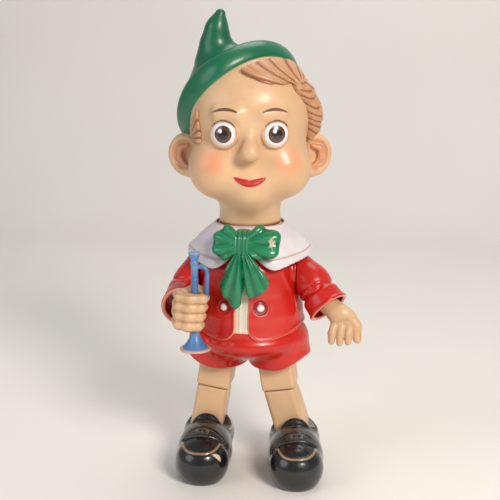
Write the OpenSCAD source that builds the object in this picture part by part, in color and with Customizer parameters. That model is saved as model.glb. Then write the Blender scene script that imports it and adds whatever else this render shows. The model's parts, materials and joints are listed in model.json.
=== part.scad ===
// Standing jointed vinyl puppet figure: a boy with a peaked hat, a bow and a toy trumpet.
// Millimetres. +Z is up and the figure faces -Y, so its own left side is +X.
// Every sub-part is drawn about the neck's axis, and place() moves that axis to its spot in the frame.

/* [Head] */
// Radius of the skull
skull_r = 58; // [56:0.5:59]
// Height of the skull's centre above the floor
skull_z = 353; // [351:1:355]
// Turn of the head on the neck at rest, towards the figure's left, in degrees
head_turn = 9; // [0:1:15]
// Radius of the neck where it meets the collar
neck_r = 30; // [28:0.5:30.5]

/* [Torso] */
// Height of the neck seam above the floor
neck_z = 247; // [246:0.5:248]
// Wall of the hollow vinyl mouldings
wall = 2.5; // [2.2:0.1:2.8]
// Thickness of the jacket and the shorts
cloth = 3; // [2.6:0.1:3.2]
// Width of the jacket's front opening
front_gap = 12; // [10:1:16]

/* [Arms] */
// Height of the shoulder pivots
shoulder_z = 199; // [198:0.5:200]
// Distance from the neck's axis to the shoulder joint's face
shoulder_x = 48.5; // [48.5:0.5:50]
// Radius of the sleeve at the shoulder
shoulder_r = 17; // [16:0.5:18]

/* [Legs] */
// Width of a thigh block
thigh_w = 33; // [31:0.5:34]
// Depth of a thigh block
thigh_d = 36; // [34:0.5:37]
// Height of the knee pins
knee_z = 80; // [78:0.5:82]
// Furthest bend of a knee, in degrees
knee_bend = 60; // [40:5:60]

/* [Hidden] */

vinyl = "#e6bd8b";
red = "#c8241b";
green = "#0f8a55";
white = "#e9e4e4";
black = "#1a1a1c";
blue = "#3f76b8";
hair_brown = "#b4694a";

axis_at = [-15.1, 1.9, 0]; // where the neck's axis stands, so that the frame's origin is the footprint's centre
gap = 0.3;              // between neighbouring pieces
big = 400;              // longer than any piece
RIGHT = -1;             // the figure's own right side
LEFT = 1;

// Outside of the torso shell: [height, radius]
torso_at = [[128, 50], [142, 51], [160, 49.5], [182, 45], [202, 42], [222, 36], [238, 31.5], [247, 31]];
torso_base = torso_at[0][0];
torso_top = neck_z - 0.3;
neck_lip_r = 22;
neck_lip_h = 3.5;

// Radius at height z of a row of stations, eased between one station and the next
function ease(t) = (1 - cos(180 * t)) / 2;
function station(rows, z, i = 0) =
  i >= len(rows) - 2 || z <= rows[i + 1][0]
  ? rows[i][1] + (rows[i + 1][1] - rows[i][1]) * ease((z - rows[i][0]) / (rows[i + 1][0] - rows[i][0]))
  : station(rows, z, i + 1);
function ring(rows, z0, z1, grow, n = 12) =
  [for (i = [0 : n]) let (z = z0 + (z1 - z0) * i / n) [station(rows, z) + grow, z]];
function backwards(points) = [for (i = [len(points) - 1 : -1 : 0]) points[i]];

module place() translate(axis_at) children();
module turned_head() place() rotate([0, 0, head_turn]) children();

// A wall that follows a row of stations, from grow_in to grow_out off them
module lathe_wall(rows, z0, z1, grow_in, grow_out) {
  rotate_extrude($fn = 96)
    polygon(concat(ring(rows, z0, z1, grow_out), backwards(ring(rows, z0, z1, grow_in))));
}

module capsule(a, b, ra, rb) {
  hull() {
    translate(a) sphere(ra, $fn = 16);
    translate(b) sphere(rb, $fn = 16);
  }
}

// Children drawn along +Z, turned to run from a towards b
module along(a, b) {
  d = b - a;
  translate(a)
    rotate([0, acos(d[2] / norm(d)), atan2(d[1], d[0])])
      children();
}

// ---------------------------------------------------------------- torso

shoulder_bore_r = 6.05;

module shoulder_bores(r) {
  for (side = [RIGHT, LEFT])
    translate([0, 0, shoulder_z]) rotate([0, side * 90, 0]) cylinder(r = r, h = 70, $fn = 48);
}

hip_x = [for (side = [RIGHT, LEFT]) side * 30 - 1.5];
hip_peg_r = 6;

module torso_shell() {
  color(vinyl) place() difference() {
    union() {
      lathe_wall(torso_at, torso_base, torso_top, -wall, 0);
      translate([0, 0, torso_base]) cylinder(r = torso_at[0][1] - 0.5, h = wall, $fn = 96);
      translate([0, 0, torso_top - neck_lip_h]) cylinder(r = 31, h = neck_lip_h, $fn = 96);
    }
    cylinder(r = neck_lip_r, h = big, $fn = 96);
    shoulder_bores(shoulder_bore_r);
    for (x = hip_x) translate([x, 0, 0]) cylinder(r = hip_peg_r, h = big / 2, $fn = 48);
  }
  // The neck lip's hole goes no lower than the lip
  color(vinyl) place() difference() {
    translate([0, 0, torso_base]) cylinder(r = neck_lip_r, h = wall, $fn = 96);
    for (x = hip_x) translate([x, 0, 0]) cylinder(r = hip_peg_r, h = big / 2, $fn = 48);
  }
}

jacket_hem = 140;
jacket_top = 229;

corner_r = 14;

// The jacket's front opening, with rounded corners at the hem
function front_edge(side) = [for (t = [0 : 15 : 90])
  [side * (front_gap / 2 + corner_r * (1 - cos(t))), jacket_hem + corner_r * (1 - sin(t))]];

module front_opening() {
  w = front_gap / 2;
  polygon(concat(
    [[w, 211]], front_edge(LEFT), [[w + corner_r, 130], [-w - corner_r, 130]],
    backwards(front_edge(RIGHT)), [[-w, 211]]
  ));
}

// Short round bosses on the jacket that the sleeves turn against
module armhole_bosses() {
  for (side = [RIGHT, LEFT])
    translate([side * 30, 0, shoulder_z]) rotate([0, side * 90, 0])
      cylinder(r = shoulder_r - 0.5, h = shoulder_x - 30, $fn = 64);
}

module jacket() {
  color(red) place() difference() {
    union() {
      lathe_wall(torso_at, jacket_hem, jacket_top, gap, gap + cloth);
      difference() {
        armhole_bosses();
        rotate_extrude($fn = 96)
          polygon(concat([[0, 150], [gap, 150]], ring(torso_at, 150, 229, gap + 1, 12), [[0, 229]]));
      }
    }
    rotate([90, 0, 0]) linear_extrude(big / 2) front_opening();
    shoulder_bores(shoulder_bore_r);
    for (side = [RIGHT, LEFT]) at_button(side) {
      translate([0, 0, -2]) cylinder(r = 1.55, h = 20, $fn = 24);
      translate([0, 0, -0.05]) cylinder(r = 3.9, h = 20, $fn = 32);
    }
  }
}

module shirt_front() {
  color(white) place() intersection() {
    lathe_wall(torso_at, 147, 210.5, gap, 2);
    translate([-front_gap / 2 + gap, -big / 2, 140]) cube([front_gap - 2 * gap, big / 2, 80]);
  }
}

button_turn = 20.5;
button_z = 172.5;
button_seat = 50; // from the neck's axis

// A button's own frame: the origin on the jacket, Z out of it
module at_button(side) {
  rotate([0, 0, side * button_turn]) translate([0, -button_seat, button_z]) rotate([90, 0, 0]) children();
}

module jacket_buttons() {
  color(white) place() for (side = [RIGHT, LEFT]) at_button(side) {
    cylinder(r = 3.6, h = 2, $fn = 32);
    translate([0, 0, -2]) cylinder(r = 1.5, h = 3, $fn = 24);
  }
}

// ---------------------------------------------------------------- collar and bow

collar_in = 32;
collar_thick = 2.2;
collar_steps = 6;
collar_parts = 48;

// A point of the collar's upper side: a is the angle from the front, s runs from the neck to the edge
function collar_reach(a) = 61 * pow(abs(sin(a)), 2) + 49.5 * pow(cos(a), 2);
function collar_drop(a) = 25 + 14 * pow(max(cos(a), 0), 2);
function collar_point(a, s, lift) =
  let (r = collar_in + (collar_reach(a) - collar_in) * s + 0.4 * lift)
  [r * sin(a), -r * cos(a), 246.5 - collar_drop(a) * pow(s, 1.35) + (lift - collar_thick) * (1 - 0.3 * s)];

module collar_sheet() {
  n = collar_parts;
  m = collar_steps;
  top = [for (j = [0 : m]) for (i = [0 : n - 1]) collar_point(360 * i / n, j / m, collar_thick)];
  low = [for (j = [0 : m]) for (i = [0 : n - 1]) collar_point(360 * i / n, j / m, 0)];
  k = (m + 1) * n;
  faces = concat(
    [for (j = [0 : m - 1]) for (i = [0 : n - 1]) for (f = [
      [j * n + i, j * n + (i + 1) % n, (j + 1) * n + i],
      [j * n + (i + 1) % n, (j + 1) * n + (i + 1) % n, (j + 1) * n + i]]) f],
    [for (j = [0 : m - 1]) for (i = [0 : n - 1]) for (f = [
      [k + j * n + i, k + (j + 1) * n + i, k + j * n + (i + 1) % n],
      [k + j * n + (i + 1) % n, k + (j + 1) * n + i, k + (j + 1) * n + (i + 1) % n]]) f],
    [for (i = [0 : n - 1]) for (f = [
      [i, k + i, (i + 1) % n],
      [(i + 1) % n, k + i, k + (i + 1) % n]]) f],
    [for (i = [0 : n - 1]) let (e = m * n) for (f = [
      [e + i, e + (i + 1) % n, k + e + i],
      [e + (i + 1) % n, k + e + (i + 1) % n, k + e + i]]) f]
  );
  polyhedron(concat(top, low), faces);
}

module collar() {
  color(white) place() difference() {
    collar_sheet();
    translate([0, -50, 212]) rotate([0, 45, 0]) cube([20, 60, 20], center = true);
  }
}

bow_y = -53;
bow_z = 236;

module bow_knot() {
  color(green) place() translate([0.5, bow_y, bow_z]) rotate([10, 0, 0])
    intersection() {
      cylinder(r = 8, h = 21, center = true, $fn = 48);
      sphere(r = 11.5, $fn = 48);
    }
}

module bow_loop(side, reach) {
  difference() {
    hull() {
      translate([side * 9, bow_y + 1, bow_z]) rotate([0, side * 90, 0]) cylinder(r = 4, h = 2, $fn = 24);
      translate([side * (reach - 7), bow_y, bow_z + 4]) sphere(6, $fn = 20);
      translate([side * (reach - 8), bow_y, bow_z - 8]) sphere(6, $fn = 20);
    }
    translate([0.5, bow_y, bow_z]) rotate([10, 0, 0]) cylinder(r = 8 + gap, h = 40, center = true, $fn = 48);
  }
}

module bow_loops() {
  color(green) place() {
    bow_loop(RIGHT, 26);
    bow_loop(LEFT, 35);
  }
}

module bow_tails() {
  color(green) place() {
    capsule([-3, bow_y - 1, bow_z - 16], [-10, bow_y - 3, 181], 3, 8);
    capsule([4, bow_y - 1, bow_z - 16], [17, bow_y - 2.5, 192], 3, 7.5);
  }
}

// ---------------------------------------------------------------- shorts and legs

knee_pin_r = 2;
knuckle_r = 5;
knee_y = 12;
tongue_w = 12;
thigh_splay = 9;       // lean of both thigh blocks
knee_x = [-35.5, 31];  // right, left
shin_slip = [1, 8];    // further sideways travel of the ankle, right and left
shin_top_w = 31;
shin_top_d = 34;
shin_bottom_w = 33;
shin_bottom_d = 32;
ankle_drop = 58;
thigh_top = 46;

function slot_of(side) = side == RIGHT ? 0 : 1;

// A leg's own frame: the origin on the knee pin, X along the pin, Z up the thigh
module at_knee(side) {
  place() translate([knee_x[slot_of(side)], knee_y, knee_z]) rotate([0, -side * thigh_splay, 0]) children();
}

module thigh_block(grow = 0, h = thigh_top) {
  translate([-thigh_w / 2 - grow, -knee_y - thigh_d / 2 - grow, 0.25])
    cube([thigh_w + 2 * grow, thigh_d + 2 * grow, h]);
}

module across(r, w) rotate([0, 90, 0]) cylinder(r = r, h = w, center = true, $fn = 64);

module thigh(side) {
  color(vinyl) difference() {
    union() {
      at_knee(side) thigh_block();
      at_knee(side) across(knuckle_r, thigh_w - 4);
      place() translate([hip_x[slot_of(side)], 0, torso_base - 6])
        cylinder(r = hip_peg_r, h = 6 + wall + 3, $fn = 48);
    }
    place() difference() {
      translate([0, 0, torso_base - gap + 20]) cube([big, big, 40], center = true);
      translate([hip_x[slot_of(side)], 0, 0]) cylinder(r = hip_peg_r, h = big / 2, $fn = 48);
    }
    at_knee(side) across(knee_pin_r, thigh_w + 2);
    at_knee(side) translate([0, 4, 0]) cube([tongue_w + 1, 24, 2 * knuckle_r + 8], center = true);
  }
}

module knee_pin(side) {
  color("silver") at_knee(side) across(knee_pin_r, thigh_w - 4);
}

module shin_slab(side, w, d, z, slip) {
  translate([side * slip - w / 2, -knee_y - d / 2, z - 0.5]) cube([w, d, 0.5]);
}

module shin(side) {
  i = slot_of(side);
  color(vinyl) difference() {
    union() {
      at_knee(side) difference() {
        hull() {
          shin_slab(side, shin_top_w, shin_top_d, -0.25, 0);
          shin_slab(side, shin_bottom_w, shin_bottom_d, -ankle_drop, shin_slip[i]);
        }
        across(knuckle_r + gap, thigh_w + 2);
        rotate([-knee_bend - 2, 0, 0]) translate([-big / 2, 0, -gap]) cube([big, 60, 60]);
      }
      at_knee(side) {
        across(knuckle_r, tongue_w);
        translate([-tongue_w / 2, -3.5, -12]) cube([tongue_w, 5, 12]);
      }
    }
    at_knee(side) across(knee_pin_r + 0.05, thigh_w);
    place() translate([0, 0, shoe_floor / 2 - big / 4]) cube([big, big, shoe_floor + big / 2], center = true);
  }
}

shoe_floor = 26;
ankle_x = [-41.5, 45];
ankle_y = 1;
shoe_turn = [3, 9];
sole_h = 4;

module at_shoe(side) {
  i = slot_of(side);
  place() translate([ankle_x[i], ankle_y, 0]) rotate([0, 0, shoe_turn[i]]) children();
}

module shoe_last(shrink = 0) {
  hull() {
    translate([0, -57, 18]) sphere(26.5 - shrink, $fn = 24);
    translate([0, -38, 22]) sphere(26 - shrink, $fn = 24);
    translate([0, -8, 30]) sphere(23 - shrink, $fn = 24);
    translate([0, 8, 22]) sphere(24 - shrink, $fn = 24);
  }
}

module shoe(side) {
  color(black) difference() {
    at_shoe(side) intersection() {
      shoe_last();
      translate([-50, -120, 0]) cube([100, 200, 49]);
    }
    leg_room(side, 0.2);
    at_shoe(side) strap_band(0.1);
  }
}

// The space that the shin fills inside the shoe
module leg_room(side, grow) {
  at_knee(side) hull() {
    shin_slab(side, shin_top_w + 2 * grow, shin_top_d + 2 * grow, -0.25, 0);
    shin_slab(side, shin_bottom_w + 2 * grow, shin_bottom_d + 2 * grow, -ankle_drop,
      shin_slip[slot_of(side)]);
  }
}

module strap_band(grow) {
  difference() {
    translate([-28 - grow, -60 - grow, 30]) cube([56 + 2 * grow, 11 + 2 * grow, 30]);
    shoe_last(1.4 + grow);
  }
}

module shoe_strap(side) {
  color(black) at_shoe(side) intersection() {
    strap_band(0);
    shoe_last(-1);
  }
}

leg_tube_r = 30;
waist_at = [[108, 52], [118, 57], [130, 58.5], [142, 56.5], [152, 53.5]];

module shorts() {
  color(red) place() difference() {
    union() {
      lathe_wall(waist_at, 118, jacket_hem - gap, -cloth, 0);
      for (side = [RIGHT, LEFT]) shorts_leg(side, 0);
    }
    for (side = [RIGHT, LEFT]) shorts_leg(side, cloth);
    translate([0, 0, torso_base - 0.5]) cylinder(r = torso_at[0][1] + 1, h = 60, $fn = 96);
    translate([0, 0, torso_base - 8.5]) cylinder(r = 44, h = 8.1, $fn = 96);
    for (side = [RIGHT, LEFT]) translate(-axis_at) at_knee(side) thigh_block(gap, 60);
  }
}

module shorts_leg(side, shrink) {
  hull() {
    translate([side * 28 - 1, 0, 126]) cylinder(r = leg_tube_r - shrink, h = 2, $fn = 64);
    translate([side * 31 - 1, -1, 105 + shrink])
      rotate([0, -side * thigh_splay, 0]) cylinder(r = leg_tube_r - 1 - shrink, h = 2, $fn = 64);
  }
}

// ---------------------------------------------------------------- head

cheek_at = [29, -20, 302];
chin_at = [0, -27, 287];
face_wall = 3;

module head_form(shrink) {
  hull() {
    translate([0, 2, skull_z]) sphere(skull_r - shrink, $fn = 40);
    for (side = [RIGHT, LEFT])
      translate([side * cheek_at[0], cheek_at[1], cheek_at[2]]) sphere(31 - shrink, $fn = 24);
    translate(chin_at) sphere(24 - shrink, $fn = 24);
    translate([0, 22, 306]) sphere(34 - shrink, $fn = 24);
  }
}

ear_at = [61, 9, 311];

// A dish with a rolled rim, open to the front
ear_profile = [
  [0, -3], [8, -3], [12, 0], [15, 4], [17.5, 5], [19.6, 3.5], [20, 0], [18, -4], [12, -8], [0, -9]
];

module at_ear(side) {
  translate([side * ear_at[0], ear_at[1], ear_at[2]]) rotate([0, 0, side * 16]) rotate([90, 0, 0]) children();
}

module ear(side) {
  at_ear(side) rotate_extrude($fn = 48) polygon(ear_profile);
}

// What the ears need clear of the hat and the hair
module ear_room() {
  for (side = [RIGHT, LEFT]) at_ear(side) translate([0, 0, -9.4]) cylinder(r = 20.4, h = 40, $fn = 48);
}

eye_x = 22.5;
eye_z = 338;
eye_r = 11;
eye_turn = 16;
eye_ball_r = 20;
eye_ball_back = 11; // centre of the eye's sphere behind its frame's origin

// An eye's own frame: the origin at the socket, Z out of the face
module at_eye(side) {
  translate([side * eye_x, -45, eye_z]) rotate([0, 0, side * eye_turn]) rotate([90, 0, 0]) children();
}

module head_shell() {
  color(vinyl) turned_head() difference() {
    union() {
      head_form(0);
      translate([0, 0, neck_z]) cylinder(r = neck_r, h = 40, $fn = 96);
      for (side = [RIGHT, LEFT]) ear(side);
      translate([0, -57, 321]) sphere(8.5, $fn = 32);
    }
    head_form(face_wall);
    translate([0, 0, neck_z - 1]) cylinder(r = 16, h = 60, $fn = 96);
    for (side = [RIGHT, LEFT])
      at_eye(side) translate([0, 0, -20]) cylinder(r = eye_r + 0.1, h = 60, $fn = 48);
  }
}

module neck_plug() {
  color("ivory") turned_head() rotate_extrude($fn = 96) polygon([
    [11, neck_z - 9.5], [27, neck_z - 9.5], [27, neck_z - 5.2], [neck_lip_r - 0.3, neck_z - 4.6],
    [neck_lip_r - 0.3, neck_z - gap / 2], [16, neck_z - gap / 2], [16, neck_z + 16], [11, neck_z + 16]
  ]);
}

module eye(side) {
  color(white) turned_head() at_eye(side) intersection() {
    translate([0, 0, -7]) cylinder(r = eye_r, h = 40, $fn = 48);
    translate([0, 0, -eye_ball_back]) sphere(r = eye_ball_r, $fn = 64);
  }
}

module pupil(side) {
  color(black) turned_head() at_eye(side) difference() {
    intersection() {
      translate([0, 0, 2]) cylinder(r = 5.5, h = 20, $fn = 48);
      translate([0, 0, -eye_ball_back]) sphere(r = eye_ball_r + 0.6, $fn = 64);
    }
    translate([0, 0, -eye_ball_back]) sphere(r = eye_ball_r, $fn = 64);
  }
}

module hair_lock(points, r) {
  for (i = [0 : len(points) - 2]) capsule(points[i], points[i + 1], r, r);
}

module hair() {
  color(hair_brown) turned_head() difference() {
    union() {
      hair_lock([[-20, -49, 384], [10, -49, 389], [36, -38, 378]], 9);
      hair_lock([[46, -24, 376], [59, -8, 358], [62, -3, 340]], 8);
      hair_lock([[-56, -14, 356], [-59, -6, 342]], 6);
      hair_lock([[-46, 38, 306], [0, 56, 298], [46, 38, 306]], 8);
    }
    head_form(-0.2);
    hat_clear(0.4);
    ear_room();
  }
}

hat_centre = [-13.5, 19, 361];
hat_lean = [-38, -46, 0];
brim_r = 63.5;
// Crown discs: [distance along the hat's axis, radius]
crown_discs = [[-4, 59], [14, 56], [30, 44], [39, 30]];
// Peak of the crown: [position, radius]
crown_peak = [[[-31, 18, 399], 20], [[-32.5, 14, 421], 12], [[-28, 10, 445], 4.5]];

module at_hat() translate(hat_centre) rotate(hat_lean) children();

// The turned-up brim, or the space that it takes
module brim_ring(grow) {
  rotate_extrude($fn = 72) polygon([
    for (a = [0 : 22.5 : 337.5]) [brim_r + (4.5 + grow) * cos(a) + 2 * sin(a), (10 + grow) * sin(a)]
  ]);
}

module crown_form(grow) {
  hull() at_hat() for (disc = crown_discs)
    translate([0, 0, disc[0]]) cylinder(r = disc[1] + grow, h = 2, $fn = 40);
  for (i = [0 : len(crown_peak) - 2])
    capsule(crown_peak[i][0], crown_peak[i + 1][0], crown_peak[i][1] + grow, crown_peak[i + 1][1] + grow);
}

module hat_clear(grow) {
  at_hat() brim_ring(grow);
  crown_form(grow);
}

module hat_crown() {
  color(green) turned_head() difference() {
    crown_form(0);
    head_form(-0.3);
    at_hat() brim_ring(0.1);
    ear_room();
  }
}

module hat_brim() {
  color(green) turned_head() difference() {
    at_hat() brim_ring(0);
    head_form(-0.3);
    ear_room();
  }
}

// ---------------------------------------------------------------- arms

left_cuff = [79, -17, 168.5];
left_cuff_r = 17.5;
right_elbow = [-63, -14, 177];
right_cuff = [-59, -42, 170];
right_cuff_r = 18;

module shoulder_ball(side, r) {
  intersection() {
    translate([side * shoulder_x, 0, shoulder_z]) sphere(r, $fn = 32);
    translate([side * (shoulder_x + gap) + (side - 1) * big / 2, -big / 2, 0]) cube([big, big, big]);
  }
}

module shoulder_plug_bore(side, r) {
  translate([side * 20, 0, shoulder_z]) rotate([0, side * 90, 0]) cylinder(r = r, h = 37, $fn = 48);
}

// The left cuff's own frame: the origin in its mouth, Z out of it
module at_left_cuff() {
  from = [shoulder_x + 3, 0, shoulder_z];
  along(left_cuff, left_cuff + (left_cuff - from)) children();
}

module sleeve_left() {
  color(red) place() difference() {
    hull() {
      shoulder_ball(LEFT, shoulder_r);
      at_left_cuff() translate([0, 0, -4]) cylinder(r = left_cuff_r + 1.5, h = 4, $fn = 48);
    }
    at_left_cuff() translate([0, 0, -12]) cylinder(r = left_cuff_r - 2, h = 30, $fn = 48);
    shoulder_plug_bore(LEFT, 6);
  }
}

module at_right_cuff() along(right_cuff, right_cuff + [4, -28, -6]) children();

module sleeve_right() {
  color(red) place() difference() {
    union() {
      hull() {
        shoulder_ball(RIGHT, shoulder_r);
        translate(right_elbow) sphere(16, $fn = 32);
      }
      hull() {
        translate(right_elbow) sphere(16, $fn = 32);
        at_right_cuff() translate([0, 0, -3]) cylinder(r = right_cuff_r, h = 3, $fn = 48);
      }
    }
    at_right_cuff() translate([0, 0, -12]) cylinder(r = right_cuff_r - 3, h = 30, $fn = 48);
    shoulder_plug_bore(RIGHT, 6);
    jacket_swing();
  }
}

// What the jacket and torso need beside the right sleeve
module jacket_swing() {
  cylinder(r = 55, h = 180, $fn = 96);
  cylinder(r = 51.3, h = 189, $fn = 96);
  translate([-shoulder_x - gap, 0, shoulder_z]) rotate([0, 90, 0]) cylinder(r = shoulder_r + 3, h = 40, $fn = 64);
}

module shoulder_plug(side) {
  color("ivory") place() translate([0, 0, shoulder_z]) rotate([0, side * 90, 0]) {
    translate([0, 0, 33.5]) cylinder(r = 9, h = 2.5, $fn = 48);
    translate([0, 0, 35]) cylinder(r = 6, h = 22, $fn = 48);
  }
}

finger_longer = [0, 1.5, 1.5, 0];

module hand_left() {
  palm = [91, -23, 160];
  color(vinyl) place() {
    at_left_cuff() translate([0, 0, -12]) cylinder(r = 9, h = 22, $fn = 32);
    hull() {
      translate(palm + [-6, 0, 0]) sphere(6.5, $fn = 16);
      translate(palm + [5, -1, 1]) sphere(7, $fn = 16);
      translate(palm + [-2, -2, -8]) sphere(5.5, $fn = 16);
      translate(palm + [12, -3, -8]) sphere(5.5, $fn = 16);
    }
    for (i = [0 : 3])
      capsule(palm + [-4 + 6.5 * i, -4, -10], palm + [-6.5 + 8 * i, -9, -20 - finger_longer[i]], 3.9, 3.3);
    capsule(palm + [9, -6, 0], palm + [5, -10, -10], 4.5, 3.6);
  }
}

trumpet_at = [-41.5, -68];
trumpet_top = 230;
trumpet_bottom = 135;
trumpet_r = 3.1;
fist_z = 172.5;

module hand_right() {
  grip = [trumpet_at[0], trumpet_at[1], fist_z];
  color(vinyl) place() difference() {
    union() {
      at_right_cuff() translate([0, 0, -12]) cylinder(r = 11, h = 24, $fn = 32);
      hull() for (dz = [-12, 12]) {
        translate(grip + [-12, 6, dz]) sphere(8, $fn = 16);
        translate(grip + [-3, 8, dz]) sphere(6, $fn = 16);
      }
      for (i = [0 : 3])
        capsule(grip + [-13, -2, 13.5 - 8.8 * i], grip + [6 - 1.6 * i, -5, 13 - 8.6 * i], 5.1, 4.6);
      capsule(grip + [-6, 6, 16], grip + [6, 2, 15], 5, 4.2);
    }
    translate([trumpet_at[0], trumpet_at[1], 0]) cylinder(r = trumpet_r + 0.2, h = big, $fn = 32);
    translate([loop_x, trumpet_at[1], 0]) cylinder(r = loop_tube_r + 0.2, h = big, $fn = 24);
  }
}

module trumpet_tube() {
  color(blue) place() translate([trumpet_at[0], trumpet_at[1], 0]) rotate_extrude($fn = 48) polygon([
    [0, 152], [trumpet_r, 152], [trumpet_r, trumpet_top - 12],
    [4.2, trumpet_top - 10], [4.2, trumpet_top - 8.5], [trumpet_r + 0.3, trumpet_top - 8],
    [5.4, trumpet_top - 1], [5.4, trumpet_top], [0, trumpet_top]
  ]);
}

loop_tube_r = 1.9;
loop_r = 6;
loop_x = trumpet_at[0] + 2 * loop_r;
loop_z = 210.5;

module trumpet_loop() {
  color(blue) place() difference() {
    translate([trumpet_at[0] + loop_r, trumpet_at[1], loop_z]) {
      rotate([90, 0, 0]) rotate_extrude(angle = 180, $fn = 64)
        translate([loop_r, 0]) circle(loop_tube_r, $fn = 24);
      translate([loop_r, 0, -24]) cylinder(r = loop_tube_r, h = 24, $fn = 24);
    }
    translate([trumpet_at[0], trumpet_at[1], 0]) cylinder(r = trumpet_r + 0.05, h = big, $fn = 48);
  }
}

bell_wall = 2.4;
bell_top = 155;

module trumpet_bell() {
  function flare_r(t) = 3.6 + 10.6 * pow(t, 2.2);
  flare = [for (i = [0 : 10]) [flare_r(i / 10), bell_top - 1.8 * i]];
  hollow = [for (i = [10 : -1 : 5]) [flare_r(i / 10) - bell_wall, bell_top - 1.8 * i]];
  color(blue) place() translate([trumpet_at[0], trumpet_at[1], 0]) rotate_extrude($fn = 64) polygon(concat(
    [[0, 151.8], [trumpet_r, 151.8], [trumpet_r + 0.1, bell_top]],
    flare, [[14.6, trumpet_bottom + 1], [14.2, trumpet_bottom], [12.2, trumpet_bottom]], hollow, [[0, 147]]
  ));
}

// ---------------------------------------------------------------- nodes

torso_shell();
jacket();
shirt_front();
collar();
bow_knot();
bow_loops();
bow_tails();
jacket_buttons();
shorts();
thigh(RIGHT);  // thigh_right
thigh(LEFT);  // thigh_left
knee_pin(RIGHT);  // knee_pin_right
knee_pin(LEFT);  // knee_pin_left
head_shell();
neck_plug();
hair();
eye(RIGHT);  // eye_right
eye(LEFT);  // eye_left
pupil(RIGHT);  // pupil_right
pupil(LEFT);  // pupil_left
hat_crown();
hat_brim();
sleeve_right();
shoulder_plug(RIGHT);  // shoulder_plug_right
hand_right();
trumpet_tube();
trumpet_loop();
trumpet_bell();
sleeve_left();
shoulder_plug(LEFT);  // shoulder_plug_left
hand_left();
shin(RIGHT);  // shin_right
shoe(RIGHT);  // shoe_right
shoe_strap(RIGHT);  // shoe_strap_right
shin(LEFT);  // shin_left
shoe(LEFT);  // shoe_left
shoe_strap(LEFT);  // shoe_strap_left
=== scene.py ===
import json
import math

import bpy
import numpy as np
from mathutils import Matrix, Vector


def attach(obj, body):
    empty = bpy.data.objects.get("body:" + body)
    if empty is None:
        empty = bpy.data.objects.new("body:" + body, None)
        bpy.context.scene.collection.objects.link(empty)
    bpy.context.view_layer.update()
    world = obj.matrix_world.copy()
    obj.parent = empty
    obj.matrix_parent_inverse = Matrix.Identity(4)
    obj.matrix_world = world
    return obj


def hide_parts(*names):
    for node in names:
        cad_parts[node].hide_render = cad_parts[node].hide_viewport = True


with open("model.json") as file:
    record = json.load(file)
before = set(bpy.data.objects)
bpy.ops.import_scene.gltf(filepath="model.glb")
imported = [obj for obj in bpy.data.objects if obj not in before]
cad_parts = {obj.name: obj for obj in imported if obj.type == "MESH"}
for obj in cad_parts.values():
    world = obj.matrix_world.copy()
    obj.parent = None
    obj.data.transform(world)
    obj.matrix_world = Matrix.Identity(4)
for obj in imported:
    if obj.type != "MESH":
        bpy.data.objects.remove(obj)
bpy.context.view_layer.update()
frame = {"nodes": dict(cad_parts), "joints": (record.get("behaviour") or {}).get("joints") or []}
JOINTS = {j["name"]: j for j in frame["joints"]}
COARSE = 1.0

# ---- the CAD part's own sizes, in mm

NECK = np.array([*JOINTS["neck_swivel"]["pos_m"][:2], 0.0]) * 1000
HEAD_TURN = 9
TORSO_Z = [128, 142, 160, 182, 202, 222, 238, 247]
TORSO_R = [50, 51, 49.5, 45, 42, 36, 31.5, 31]
CLOTH = 3.3
HEM = 140
SHOULDER = (48.5, 0, 199)
KNEE = {-1: (-35.5, 12, 80), 1: (31, 12, 80)}
SPLAY = 9
ANKLE_SLIP = {-1: 1, 1: 8}
ANKLE = {-1: (-41.5, 1), 1: (45, 1)}
SHOE_TURN = {-1: 3, 1: 9}
HAT_AT = (-11.5, 19.0, 360.5)
HAT_LEAN = (-38, -42.5)
BRIM_R = 63.5
LEFT_CUFF = np.array([79.0, -17, 168.5])
RIGHT_CUFF = np.array([-59.0, -42, 170])
RIGHT_OUT = np.array([4.0, -28, -6]) / math.sqrt(4**2 + 28**2 + 6**2)
LEFT_CUFF_R, RIGHT_CUFF_R = 18.4, 18.2
TRUMPET = (-41.5, -68)
FINGER_PITCH = 8.9
EYE_X, EYE_Z, EYE_TURN = 22.5, 338, 16

# ---- distance fields


def length(v):
    return np.sqrt((v * v).sum(-1))


def vec(*c):
    return np.array(c, np.float32)


def ball(p, c, r):
    return length(p - np.asarray(c, np.float32)) - r


def egg(p, c, radii, turn=None):
    q = p - np.asarray(c, np.float32)
    if turn is not None:
        q = q @ turn
    radii = np.asarray(radii, np.float32)
    k0, k1 = length(q / radii), length(q / radii**2)
    return k0 * (k0 - 1) / np.maximum(k1, 1e-6)


def stick(p, a, b, ra, rb):
    a, b = np.asarray(a, np.float32), np.asarray(b, np.float32)
    ab = b - a
    t = np.clip(((p - a) @ ab) / (ab @ ab), 0, 1)
    return length(p - a - t[:, None] * ab) - (ra + (rb - ra) * t)


def slab(p, c, half, r, turn=None):
    q = p - np.asarray(c, np.float32)
    if turn is not None:
        q = q @ turn
    q = np.abs(q) - (np.asarray(half, np.float32) - r)
    return length(np.maximum(q, 0)) + np.minimum(q.max(-1), 0) - r


def join(a, b, k=0.0):
    if k <= 0:
        return np.minimum(a, b)
    h = np.maximum(k - np.abs(a - b), 0) / k
    return np.minimum(a, b) - h * h * k / 4


def both(a, b, k=0.0):
    return -join(-a, -b, k)


def carve(a, b, k=0.0):
    return -join(-a, b, k)


def chain(p, points, k=2.0):
    """A limb through points [x, y, z, radius]."""
    d = None
    for a, b in zip(points[:-1], points[1:]):
        e = stick(p, a[:3], b[:3], a[3], b[3])
        d = e if d is None else join(d, e, k)
    return d


def smooth(x, lo, hi):
    t = np.clip((x - lo) / (hi - lo), 0, 1)
    return t * t * (3 - 2 * t)


def bump(x, width):
    return np.exp(-((x / width) ** 2))


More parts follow.
